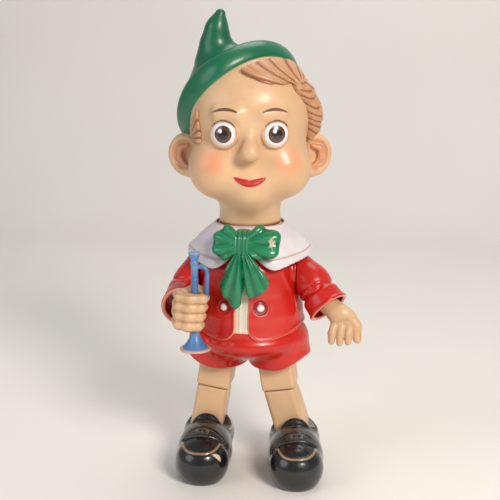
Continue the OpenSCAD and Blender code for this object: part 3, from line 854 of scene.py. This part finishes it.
def cuffed(d, p, centre, out, r, deep):
    """Opens a sleeve at its cuff and rolls the cuff's rim."""
    along, off = across(p, centre, out)
    d = join(d, both(off - r - 0.10 * np.clip(along + 14, 0, 20), np.abs(along + 7) - 7, 2), 4)
    d = np.maximum(d, np.where(off < r + 12, along - 0.5, d))
    d = carve(d, both(off - (r - 1.5), -deep - along), 1.0)
    rim = np.hypot(off - (r + 0.6), along) - 1.9
    return join(d, rim, 1.2)


def sleeve_left(p):
    d = chain(p, [(SHOULDER[0], 0, 199, 17.2), (62, -5, 189, 16.4), (*(LEFT_CUFF - 6 * LEFT_OUT), 17)], 8)
    along, off = across(p, LEFT_CUFF, LEFT_OUT)
    crease = bump(along + 17 + 2.0 * np.sin(p[:, 0] * 0.35), 1.8)
    crease = crease + 0.7 * bump(along + 23 - 0.25 * (p[:, 0] - 62), 1.6)
    d += 1.3 * crease * smooth(-p[:, 1], -8, 8)
    d = cuffed(d, p, LEFT_CUFF, LEFT_OUT, LEFT_CUFF_R, 11)
    return both(d, SHOULDER[0] - 0.6 - p[:, 0], 0.8)


def sleeve_right(p):
    d = chain(p, [(-SHOULDER[0], 0, 199, 17.2), (-57.5, -8, 186, 15.6), (-61, -18, 175, 16.6),
                  (*(RIGHT_CUFF - 8 * RIGHT_OUT), 17.6)], 9)
    d += 1.0 * bump(p[:, 2] - 184 + 0.35 * p[:, 1], 2) * smooth(-p[:, 1], 2, 14)
    d = cuffed(d, p, RIGHT_CUFF, RIGHT_OUT, RIGHT_CUFF_R, 12)
    return both(d, p[:, 0] + SHOULDER[0] - 0.6, 0.8)


def rim_mark(centre, out, r):
    def mark(p):
        along, off = across(p, centre, out)
        return 2.4 - np.hypot(off - (r + 0.2), along - 1.2)

    return mark


# the inner mark is painted shade: dark red inside each cuff's opening
red_sleeve = [("rim", 0.2, 0.9, PINK, 0.75), ("inner", 0.2, 1.2, SHADE_RED, 0.95)]


# painted shade: positive inside the sleeve's hollow, up to 12.5 mm within the cuff
def cuff_shade_mark(centre, out, r):
    def mark(p):
        along, off = across(p, centre, out)
        return np.minimum(np.minimum(r - 0.9 - off, 1.2 - along), along + 12.5)

    return mark


for label, shape, lo, hi, cuff, out, r in (
    ("left", sleeve_left, (45, -48, 146), (106, 22, 220), LEFT_CUFF, LEFT_OUT, LEFT_CUFF_R),
    ("right", sleeve_right, (-86, -66, 146), (-38, 22, 220), RIGHT_CUFF, RIGHT_OUT, RIGHT_CUFF_R),
):
    marks = {"rim": rim_mark(cuff, out, r), "inner": cuff_shade_mark(cuff, out, r)}
    place(sculpt("sleeve_" + label + "_shell", shape, lo, hi, 1.15, marks), label + "_arm", "red_vinyl",
          vinyl("red_sleeve_" + label, RED, SKIN, red_sleeve, **RED_GLOSS), "sleeve_" + label)


def hand_right(p):
    x0, y0 = TRUMPET
    d = egg(p, (x0 - 8, y0 + 9, 173), (14, 9.5, 19))
    d = join(d, stick(p, (-58, -40, 170), (x0 - 10, y0 + 10, 170), 11.5, 12), 8)
    for i in range(4):
        z, s = 187 - FINGER_PITCH * i, 1.7 * i
        finger = chain(p, [(x0 - 18 - s / 3, y0 + 9, z, 5.2), (x0 - 13.5 - s / 3, y0 - 2, z, 5.1),
                           (x0 - 3 - s / 2, y0 - 6.5, z - 0.6, 4.9), (x0 + 8 - s, y0 - 3.5, z - 1.2, 4.7),
                           (x0 + 9.5 - s, y0 + 2, z - 1.2, 4.4)], 2.5)
        d = join(d, finger, 1.3)
    thumb = chain(p, [(x0 - 12, y0 + 10, 186, 6), (x0 - 2, y0 + 10, 191.5, 5), (x0 + 7, y0 + 7, 191, 4.4)], 3)
    return join(d, thumb, 2.5)


def hand_left(p):
    x, y, z = 91, -23, 160
    d = egg(p, (x + 3, y - 1, z), (12.5, 6.8, 11), turned(10, 18))
    d = carve(d, ball(p, (x + 2, y - 13, z - 3), 8), 4)
    d = join(d, stick(p, LEFT_CUFF - 8 * LEFT_OUT, (x, y + 1, z + 3), 10, 9.5), 7)
    for i in range(3):
        a = (x - 4.5 + 7.2 * i, y - 3, z - 6)
        b = (x - 6.5 + 7.7 * i, y - 7.5, z - 14)
        c = (x - 7 + 7.9 * i, y - 9.5, z - 21.2 - (1.2 if i == 1 else 0))
        d = join(d, chain(p, [(*a, 4.2), (*b, 4.0), (*c, 3.3)], 2), 1.0)
    thumb = chain(p, [(x + 10, y, z + 1, 6), (x + 16, y - 3, z - 7, 5), (x + 17.5, y - 7, z - 19, 4)], 3)
    d = join(d, thumb, 2.0)
    crease = stick(p, (x - 5, y - 9, z - 5), (x + 9, y - 8, z - 1), 0.9, 0.9)
    return carve(d, crease, 2.2)


# painted shade: the groove mark darkens the fist between its fingers
place(sculpt("hand_right_fist", hand_right, (-74, -84, 144), (-24, -30, 200), 0.9,
             {"groove": lambda p: np.cos((p[:, 2] - 186.4) * math.tau / FINGER_PITCH)
              * smooth(-p[:, 1], 62, 68)
              * smooth(p[:, 2], 196, 190)}),
      "right_arm", "skin_vinyl",
      vinyl("fist_paint", SKIN, CREAM, [("groove", -0.3, -1.0, (0.52, 0.26, 0.12), 0.7)], **HAND),
      "hand_right")
# painted shade: the groove mark darkens the open hand between its fingers
place(sculpt("hand_left_open", hand_left, (68, -44, 130), (118, -4, 182), 0.9,
             {"groove": lambda p: smooth(153 - p[:, 2], 0, 3) * np.cos((p[:, 0] - 86) * math.tau / 7.5)}),
      "left_arm", "skin_vinyl",
      vinyl("hand_paint", SKIN, CREAM, [("groove", -0.5, -1.0, (0.52, 0.26, 0.12), 0.6)], **HAND),
      "hand_left")

# ---- trumpet


def tube(p):
    x0, y0 = TRUMPET
    r = np.hypot(p[:, 0] - x0, p[:, 1] - y0)
    z = p[:, 2]
    outline = 3.3 + 0.9 * bump(z - 219, 1.2) + 2.4 * smooth(z, 221, 230) + 0.5 * bump(z - 203, 1.0)
    d = both(r - outline, np.maximum(152 - z, z - 230), 0.8)
    return carve(d, ball(p, (x0, y0, 232), 4.8), 0.6)


def loop(p):
    x0, y0 = TRUMPET
    cx, cz, r = x0 + 6, 210.3, 6
    q = p - vec(cx, y0, cz)
    ring = np.hypot(np.hypot(q[:, 0], q[:, 2]) - r, q[:, 1]) - 2.0
    ring = np.maximum(ring, -q[:, 2])
    legs = np.minimum(stick(p, (cx + r, y0, cz), (cx + r - 0.6, y0, 187), 2.1, 2.1),
                      stick(p, (cx - r, y0, cz), (cx - r, y0, 205), 2, 2))
    return np.minimum(ring, legs)


def bell(p):
    x0, y0 = TRUMPET
    r = np.hypot(p[:, 0] - x0, p[:, 1] - y0)
    z = p[:, 2]
    t = np.clip((155.5 - z) / 19.5, 0, 1)
    outline = 3.5 + 10.6 * t**1.9
    d = both((r - outline) * 0.8, np.maximum(135.5 - z, z - 157), 0.8)
    d = join(d, np.hypot(r - 13.6, z - 136.5) - 1.1, 0.8)
    return carve(d, (r - (outline - 2.4)) * 0.8 + np.clip(z - 149, 0, 9), 0.8)


blue = dict(rough=0.36, coat=0.2, wear=0.22, vary=0.2, tint=(0.25, 0.40, 0.62))
place(sculpt("trumpet_tube_body", tube, (-50, -77, 150), (-33, -59, 232), 0.75,
             {"lip": lambda p: p[:, 2]}),
      "right_arm", "blue_vinyl",
      vinyl("trumpet_tube_paint", BLUE, SKIN, [("lip", 227, 229.5, (0.28, 0.42, 0.62), 0.8)], **blue),
      "trumpet_tube")
# painted shade: the loop's legs turn a darker blue as they go down into the fist
place(sculpt("trumpet_loop_tube", loop, (-45, -72, 183), (-25, -64, 221), 0.6,
             {"low": lambda p: p[:, 2]}),
      "right_arm", "blue_vinyl",
      vinyl("trumpet_loop_paint", BLUE, SKIN, [("low", 195, 191, scaled(BLUE, 0.5), 0.7)], **blue),
      "trumpet_loop")
place(sculpt("trumpet_bell_cup", bell, (-58, -84, 133), (-25, -52, 159), 0.8,
             {"rim": lambda p: p[:, 2]}),
      "right_arm", "blue_vinyl",
      vinyl("trumpet_bell_paint", BLUE, SKIN, [("rim", 138.2, 137.4, (0.72, 0.42, 0.26), 0.9)], **blue),
      "trumpet_bell")

# ---- head

HEAD = turned(0, 0, HEAD_TURN)
EARS = (61, 9, 311)
EYE_BALL = (0, 0, -11)  # middle of the ball that an eye's dome is cut from


def skull(p):
    d = egg(p, (0, 2, 352), (58, 57, 59.5))
    d = join(d, ball(p, (0, 22, 306), 34), 18)
    for side in (-1, 1):
        d = join(d, ball(p, (side * 28, -19, 303), 30.5), 14)
    return join(d, ball(p, (0, -27, 287), 24), 12)


def ear_frame(p, side):
    q = frame_at((side * EARS[0], EARS[1], EARS[2]), turned(0, side * 6, side * 16))(p)
    q[:, 0] *= side
    return q


def ear(p, side):
    q = ear_frame(p, side)
    d = egg(q, (0, 0, 0), (19, 7.5, 21.5))
    bowl = egg(q, (1.5, -7, 1), (13.6, 8, 15.5))
    d = carve(d, bowl, 2)
    inner = chain(q, [(-2, -2.5, 9, 2.2), (5.5, -2.5, 7, 2.4), (7.5, -2.5, -2, 2.4), (2, -2.5, -10, 2.2)], 3)
    d = join(d, inner, 2)
    lobe = ball(q, (-3, -2, -16), 6)
    return join(d, lobe, 4)


def eye_frame(side):
    return frame_at((side * EYE_X, -45, EYE_Z), turned(0, 0, side * EYE_TURN) @ turned(90))


MOUTH = [(-15, 297.5), (-8, 294.2), (0, 293.0), (8, 294.2), (15, 297.5)]


def mouth_gap(p):
    """Distance from the line between the lips, seen from the front."""
    q = np.stack([p[:, 0], np.zeros(len(p), np.float32), p[:, 2]], 1)
    d = None
    for (xa, za), (xb, zb) in zip(MOUTH[:-1], MOUTH[1:]):
        e = stick(q, (xa, 0, za), (xb, 0, zb), 0, 0)
        d = e if d is None else np.minimum(d, e)
    return d


def lips(p):
    """Positive on the lips: fuller in the middle, tapering to the corners."""
    x, z = p[:, 0], p[:, 2]
    line = 293 + 4.5 * (x / 15) ** 2
    width = np.sqrt(np.clip(1 - (x / 15.5) ** 2, 0, 1))
    upper = line + 3.0 * width - 0.9 * bump(x, 2.2) - z
    lower = z - line + 4.2 * width
    inside = np.where((p[:, 1] < 0) & (np.abs(x) < 15.5), np.minimum(upper, lower), -9)
    return np.minimum(inside, (15.2 - np.abs(x)) * 0.5)


def head(p):
    d = skull(p)
    r, _ = around(p)
    z = p[:, 2]
    neck = both(r - 29.5 - 0.6 * smooth(z, 256, 249), np.maximum(247.4 - z, z - 300), 1)
    d = join(d, neck, 16)
    for side in (-1, 1):
        q = eye_frame(side)(p)
        d = carve(d, egg(q, (0, 0.5, 10), (14.5, 15.5, 8.2)), 5)
        d = join(d, np.hypot(np.hypot(q[:, 0], q[:, 1]) - 12.2, q[:, 2] - 4.2) - 1.5, 2.5)
        d = join(d, stick(p, (side * 13, -53, 356), (side * 30, -47, 357), 3.5, 3), 10)
        d = join(d, ear(p, side), 3)
    nose = join(egg(p, (0, -58.5, 321), (8, 8.2, 7.4)), stick(p, (0, -51.5, 338), (0, -55.5, 326), 4, 5.6), 9)
    for side in (-1, 1):
        nose = join(nose, ball(p, (side * 6, -55, 318.5), 3.8), 3)
    d = join(d, nose, 5)
    swell = 2.0 * smooth(lips(p), -0.2, 2.4)
    d = d - swell
    d = carve(d, np.hypot(mouth_gap(p), skull(p) - 2.4) - 1.2, 1.4)
    philtrum = stick(p, (0, -56.5, 311), (0, -55, 302), 1.2, 1.4)
    d = carve(d, philtrum, 3)
    d = carve(d, stick(p, (-8, -55.5, 283.5), (8, -55.5, 283.5), 2, 2), 6)
    return np.maximum(d, 247.4 - z)


def brow(p):
    d = None
    for side in (-1, 1):
        x = (p[:, 0] * side - 22.5) / 12.5
        line = 357.5 + 3.2 * (1 - x * x) - p[:, 2]
        e = 1.35 * np.sqrt(np.clip(1 - x * x, 0, 1)) - np.abs(line)
        e = np.where(np.abs(x) < 1, e, -2)
        d = e if d is None else np.maximum(d, e)
    return np.where(p[:, 1] < -20, d, -5)


def blush(p):
    flat = vec(1, 1.3, 1)
    spots = [(p - vec(s * 36, -46, 312)) / flat for s in (-1, 1)]
    return np.maximum(*[bump(length(spot), 15) for spot in spots])


# Painted shade: a reddish darkening inside each ear's bowl.
def ear_bowl_shade(p):
    return np.maximum(*[-egg(ear_frame(p, s), (1.5, -7, 1), (14.5, 9, 16.5)) for s in (-1, 1)])


def eye_rim(p):
    rings = [bump(np.hypot(*eye_frame(s)(p)[:, :2].T) - 12.5, 2.4) for s in (-1, 1)]
    return np.maximum(*rings) * (p[:, 1] < -25)


def lash(p):
    line = []
    for side in (-1, 1):
        q = eye_frame(side)(p)
        line.append(bump(np.hypot(q[:, 0], q[:, 1] + 0.4) - 12.9, 0.8) * smooth(q[:, 1], 4.5, 8))
    return np.maximum(*line) * (p[:, 1] < -25)


place(
    sculpt(
        "head_moulding", head, (-84, -72, 244), (84, 62, 416), 1.35,
        {
            "lips": lips, "brow": brow, "blush": blush, "bowl": ear_bowl_shade, "lid": eye_rim,
            "line": lambda p: 1.2 - mouth_gap(p) - 4 * (p[:, 1] > 0), "ring": lambda p: p[:, 2],
            "lash": lash,
        },
        turn=HEAD,
    ),
    "head", "skin_vinyl",
    vinyl(
        "head_paint", SKIN, CREAM,
        [
            ("blush", 0.15, 0.95, (0.84, 0.28, 0.14), 0.62),
            # painted shade inside the ears
            ("bowl", -0.5, 3.0, (0.62, 0.22, 0.12), 0.62),
            ("lid", 0.3, 1.0, (0.55, 0.28, 0.16), 0.4),
            ("lips", -0.25, 0.35, (0.56, 0.012, 0.012), 0.97),
            ("line", 0.5, 1.0, (0.20, 0.005, 0.006), 0.8),
            ("brow", -0.35, 0.3, (0.10, 0.035, 0.02), 0.92),
            ("lash", 0.3, 0.7, (0.05, 0.025, 0.018), 0.9),
            ("ring", 251, 248.2, (0.36, 0.13, 0.08), 0.9),
        ],
        rough=0.38, coat=0.16, skin=0.15, vary=0.07, tint=(0.76, 0.50, 0.30),
    ),
    "head_shell",
)

for side, label in ((-1, "right"), (1, "left")):
    turn = HEAD @ turned(0, 0, side * EYE_TURN) @ turned(90)
    at = HEAD @ np.array([side * EYE_X, -45, EYE_Z])

    def dome(q):
        cap = both(ball(q, EYE_BALL, 20), np.hypot(q[:, 0], q[:, 1]) - 11.8, 0.6)
        return np.maximum(cap, -4 - q[:, 2])

    def glint(q):
        return 1.9 - np.hypot(q[:, 0] + 2.4, q[:, 1] - 3.0)

    # painted shade: the eye's white greys towards its rim, where it sinks into the socket
    piece = sculpt("eye_dome_" + label, dome, (-14, -14, -6), (14, 14, 11), 0.8,
                   {"edge": lambda q: np.hypot(q[:, 0], q[:, 1])}, turn=turn, origin=at)
    place(piece, "head", "white_vinyl",
          vinyl("eye_paint_" + label, (0.80, 0.79, 0.80), CREAM,
                [("edge", 9.0, 12.0, (0.50, 0.44, 0.48), 0.6)], rough=0.2, coat=0.6, vary=0.04),
          "eye_" + label)

    def iris(q):
        cap = both(ball(q, EYE_BALL, 20.5), np.hypot(q[:, 0], q[:, 1]) - 8.0, 0.4)
        return np.maximum(cap, -ball(q, EYE_BALL, 19.4))

    piece = sculpt("iris_" + label, iris, (-9.2, -9.2, 3), (9.2, 9.2, 11), 0.45,
                   {"rim": lambda q: np.hypot(q[:, 0], q[:, 1]), "glint": glint}, turn=turn, origin=at)
    place(piece, "head", "black_vinyl",
          vinyl("iris_paint_" + label, (0.012, 0.010, 0.010), CREAM,
                [("rim", 4.4, 5.1, (0.12, 0.045, 0.018), 0.9), ("rim", 7.1, 7.8, (0.012, 0.008, 0.006), 0.9),
                 ("glint", -0.2, 0.2, (0.85, 0.85, 0.85), 0.95)],
                rough=0.15, coat=0.7, vary=0.05), "pupil_" + label)

# ---- hair


PART = (50, 374)  # where the fringe's strands run together, seen from the front


def fringe_edge(x):
    """Height of the fringe's lower edge, listed from the figure's right to its left."""
    across_face = [-34, -16, -2, 10, 20, 32, 40, 48, 56]
    return np.interp(x, across_face, [412, 398, 389, 384.5, 382, 381.5, 383, 378, 368])


HAT = turned(*HAT_LEAN)


def hat_frame(p):
    """The hat's own frame; beside the figure's right ear it is bent back and up, clear of the ear."""
    s = smooth(-p[:, 0], 22, 72)[:, None]
    return frame_at(HAT_AT, HAT)(p - s * vec(3.0, 13.0, 7.0))


def hair(p):
    x, y, z = p[:, 0], p[:, 1], p[:, 2]
    cap = skull(p)
    puff = 3.4 + 1.8 * smooth(z, 380, 398)
    fringe = both(cap - puff, (fringe_edge(x) - z) * 0.8, 3)
    fringe = both(fringe, y - 8, 2)
    curls = chain(p, [(45, -27, 379, 6.5), (52, -20, 371, 7), (57, -14, 361, 7.8), (60, -9, 350, 8.6),
                      (59.5, -5, 340, 7.6), (57, -3, 332, 5.5)], 4)
    behind = chain(p, [(54, 2, 372, 8), (60, 4, 356, 8), (58.5, 8, 340, 7.5)], 6)
    temple = both(cap - 3.0, np.maximum(x + 46.5 + 0.12 * (z - 345), np.abs(z - 346) - 20), 3)
    temple = both(temple, np.abs(y + 8) - 26, 3)
    side = both(cap - 3.6, np.maximum(np.maximum(26 - x, 348 - z), np.maximum(-12 - y, y - 60)), 3)
    temple = np.minimum(temple, side)
    _, a = around(p)
    scallop = 292 + 4 * np.abs(np.sin(np.radians(a) * 7))
    nape = both(cap - 4.4, np.maximum(np.maximum(scallop - z, z - 352), 12 - y), 3.5)
    d = join(join(fringe, curls, 4), behind, 5)
    return join(join(d, temple, 3), nape, 6)


def under_hat(p, d):
    """Cuts away the hair that would pass through or outside the brim."""
    q = hat_frame(p)
    d = both(d, q[:, 2] + 4)
    outside = np.maximum(BRIM_R - 6 - np.hypot(q[:, 0], q[:, 1]), -17 - q[:, 2])
    return carve(d, outside, 2)


def groove(phase):
    """1 in a narrow groove, near 0 on the wide strand beside it."""
    return np.exp(2.2 * (np.cos(phase) - 1))


def hair_grooves(p):
    x, y, z = p[:, 0], p[:, 1], p[:, 2]
    a = np.arctan2(z - PART[1], PART[0] + 3 - x)
    far = np.hypot(z - PART[1], PART[0] + 3 - x)
    wander = 0.9 * np.sin(a * 9 + 1) + 0.5 * np.sin(far / 9 + a * 5)
    swept = groove(a * 27 - 0.03 * far + wander) * smooth(far, 5, 16)
    fine = 0.45 * groove(a * 71 - 0.05 * far + 2 * wander) * smooth(far, 14, 26)
    wavy = groove((z + 0.55 * x + 4.5 * np.sin(y / 7) + 1.5 * np.sin(z / 5)) * math.tau / 7.4)
    fan_a = np.arctan2(y + 12, 330 - z)
    temple = groove(fan_a * 22 + np.sin(z / 6))
    back = np.arctan2(x, -y)
    rear = groove(back * 34 + 0.8 * np.sin(z / 8 + back * 5))
    out = np.where((x > 47) & (y < 22) & (z < 384), wavy, np.maximum(swept, fine))
    out = np.where((x < -34) & (y < 20), temple, out)
    return np.where(y > 20, rear, out)


def combed_hair(p):
    return under_hat(p, hair(p) + 0.9 * hair_grooves(p))


# painted shade: the hair is darker in the bottoms of its grooves
place(
    sculpt("hair_locks", combed_hair, (-70, -66, 284), (74, 68, 418), 1.1, {"groove": hair_grooves},
           turn=HEAD),
    "head", "hair_vinyl",
    vinyl("hair_paint", (0.58, 0.31, 0.155), CREAM,
          [("groove", 0.15, 0.9, (0.26, 0.07, 0.03), 0.85)],
          rough=0.4, coat=0.15, skin=0.05, tint=(0.48, 0.19, 0.09)),
    "hair",
)

# ---- hat


def brim(p):
    q = hat_frame(p)
    u, w = np.hypot(q[:, 0], q[:, 1]) - BRIM_R, q[:, 2]
    a = math.radians(12)
    u, w = u * math.cos(a) - w * math.sin(a), u * math.sin(a) + w * math.cos(a)
    k0, k1 = np.hypot(u / 5.6, w / 10.5), np.hypot(u / 5.6**2, w / 10.5**2)
    return 0.9 * k0 * (k0 - 1) / np.maximum(k1, 1e-6)


def crown(p):
    q = hat_frame(p)
    dome = egg(q, (0, 0, -6), (60.5, 60.5, 50))
    dome = both(dome, -3 - q[:, 2], 1)
    peak = chain(p, [(-27, 20, 385, 29.5), (-31, 18, 402, 19.5), (-32.5, 15, 418, 13.2),
                     (-31.4, 12, 432, 9.2),
                     (-28, 10, 444.8, 4.7)], 8)
    return join(dome, both(peak, -3 - q[:, 2], 1), 12)


green_hat = dict(rough=0.34, coat=0.25, wear=0.08, vary=0.14)
place(sculpt("hat_brim_roll", brim, (-84, -56, 290), (58, 92, 432), 1.25,
             {"edge": lambda p: hat_frame(p)[:, 2]}, turn=HEAD),
      "head", "green_vinyl",
      vinyl("green_brim", GREEN, CREAM, [("edge", -9.7, -10.3, (0.62, 0.50, 0.30), 0.7)], **green_hat),
      "hat_brim")
place(sculpt("hat_crown_cone", crown, (-86, -50, 296), (60, 92, 454), 1.5,
             {"tip": lambda p: p[:, 2]}, turn=HEAD),
      "head", "green_vinyl",
      vinyl("green_crown", scaled(GREEN, 0.85), CREAM, [("tip", 436, 452, scaled(GREEN, 0.6), 0.6)],
            **green_hat),
      "hat_crown")

# ---- small parts kept from the CAD

plug_paint = vinyl("plug_paint", (0.66, 0.56, 0.40), CREAM, rough=0.45, coat=0.0)
steel = Paint("pin_steel_brushed")
brushed = steel.noise(420, 6, 0.7)
steel = steel.finish(
    steel.mix(steel.ramp(brushed, 0.3, 0.7), (0.36, 0.35, 0.34), (0.58, 0.57, 0.55)),
    steel.ramp(brushed, 0.2, 0.8, 0.25, 0.45), brushed, 0.08, metal=1.0,
)
for name in ("neck_plug", "shoulder_plug_right", "shoulder_plug_left", "knee_pin_right", "knee_pin_left"):
    node = frame["nodes"][name]
    node.data.materials.clear()
    node.data.materials.append(steel if name.startswith("knee") else plug_paint)

# ---- floor, light and camera


def studio(name, size, z, colour):
    mesh = bpy.data.meshes.new(name)
    s = size / 2
    back, high, bend = s * 0.55, s * 1.6, 0.35
    rows = [(-s, z)] + [(back - bend + bend * math.sin(t), z + bend * (1 - math.cos(t)))
                        for t in np.linspace(0, math.pi / 2, 12)] + [(back, z + high)]
    verts = [(x, y, h) for y, h in rows for x in (-s, s)]
    faces = [(2 * i, 2 * i + 1, 2 * i + 3, 2 * i + 2) for i in range(len(rows) - 1)]
    mesh.from_pydata(verts, [], faces)
    mesh.polygons.foreach_set("use_smooth", [True] * len(faces))
    floor = bpy.data.objects.new(name, mesh)
    bpy.context.scene.collection.objects.link(floor)
    m = Paint(name + "_paper")
    soft = m.noise(3, 3)
    c = m.mix(m.ramp(soft, 0.3, 0.7), scaled(colour, 0.97), colour)
    floor.data.materials.append(m.finish(c, 0.8, soft, 0.02))


def area_light(name, at, target, size, power, colour):
    lamp = bpy.data.lights.new(name, "AREA")
    lamp.shape, lamp.size, lamp.energy, lamp.color = "DISK", size, power, colour
    o = bpy.data.objects.new(name, lamp)
    o.location = at
    o.rotation_mode = "QUATERNION"
    o.rotation_quaternion = (Vector(target) - Vector(at)).to_track_quat("-Z", "Y")
    bpy.context.scene.collection.objects.link(o)


studio("studio_floor", 5.0, 0.0, (0.86, 0.83, 0.79))
area_light("key_light", (0.95, -1.25, 1.15), (0, 0, 0.25), 0.6, 27, (1.0, 0.93, 0.84))
area_light("fill_light", (-1.3, -1.0, 0.9), (0, 0, 0.25), 1.2, 7.5, (0.86, 0.90, 1.0))
area_light("top_light", (0.1, 0.5, 1.6), (0, 0, 0.25), 1.0, 8, (1.0, 0.98, 0.96))
world = bpy.data.worlds.new("studio_world")
world.use_nodes = True
world.node_tree.nodes["Background"].inputs["Color"].default_value = (0.80, 0.82, 0.86, 1)
world.node_tree.nodes["Background"].inputs["Strength"].default_value = 0.32
bpy.context.scene.world = world

CAMERA = dict(azimuth=9, away=1.075, height=0.462, aim=0.218, lens=80.9)
turn = math.radians(CAMERA["azimuth"])
axis = Vector(NECK * 0.001)
camera = bpy.data.objects.new("camera", bpy.data.cameras.new("camera"))
camera.data.lens, camera.data.sensor_width = CAMERA["lens"], 36
level = axis + Vector((math.sin(turn), -math.cos(turn), 0)) * CAMERA["away"]
camera.location = level + Vector((0, 0, CAMERA["height"]))
look = axis + Vector((0, 0, CAMERA["aim"])) - camera.location
camera.rotation_mode = "QUATERNION"
camera.rotation_quaternion = look.to_track_quat("-Z", "Y")
bpy.context.scene.collection.objects.link(camera)
bpy.context.scene.camera = camera
bpy.context.scene.view_settings.view_transform = "Standard"
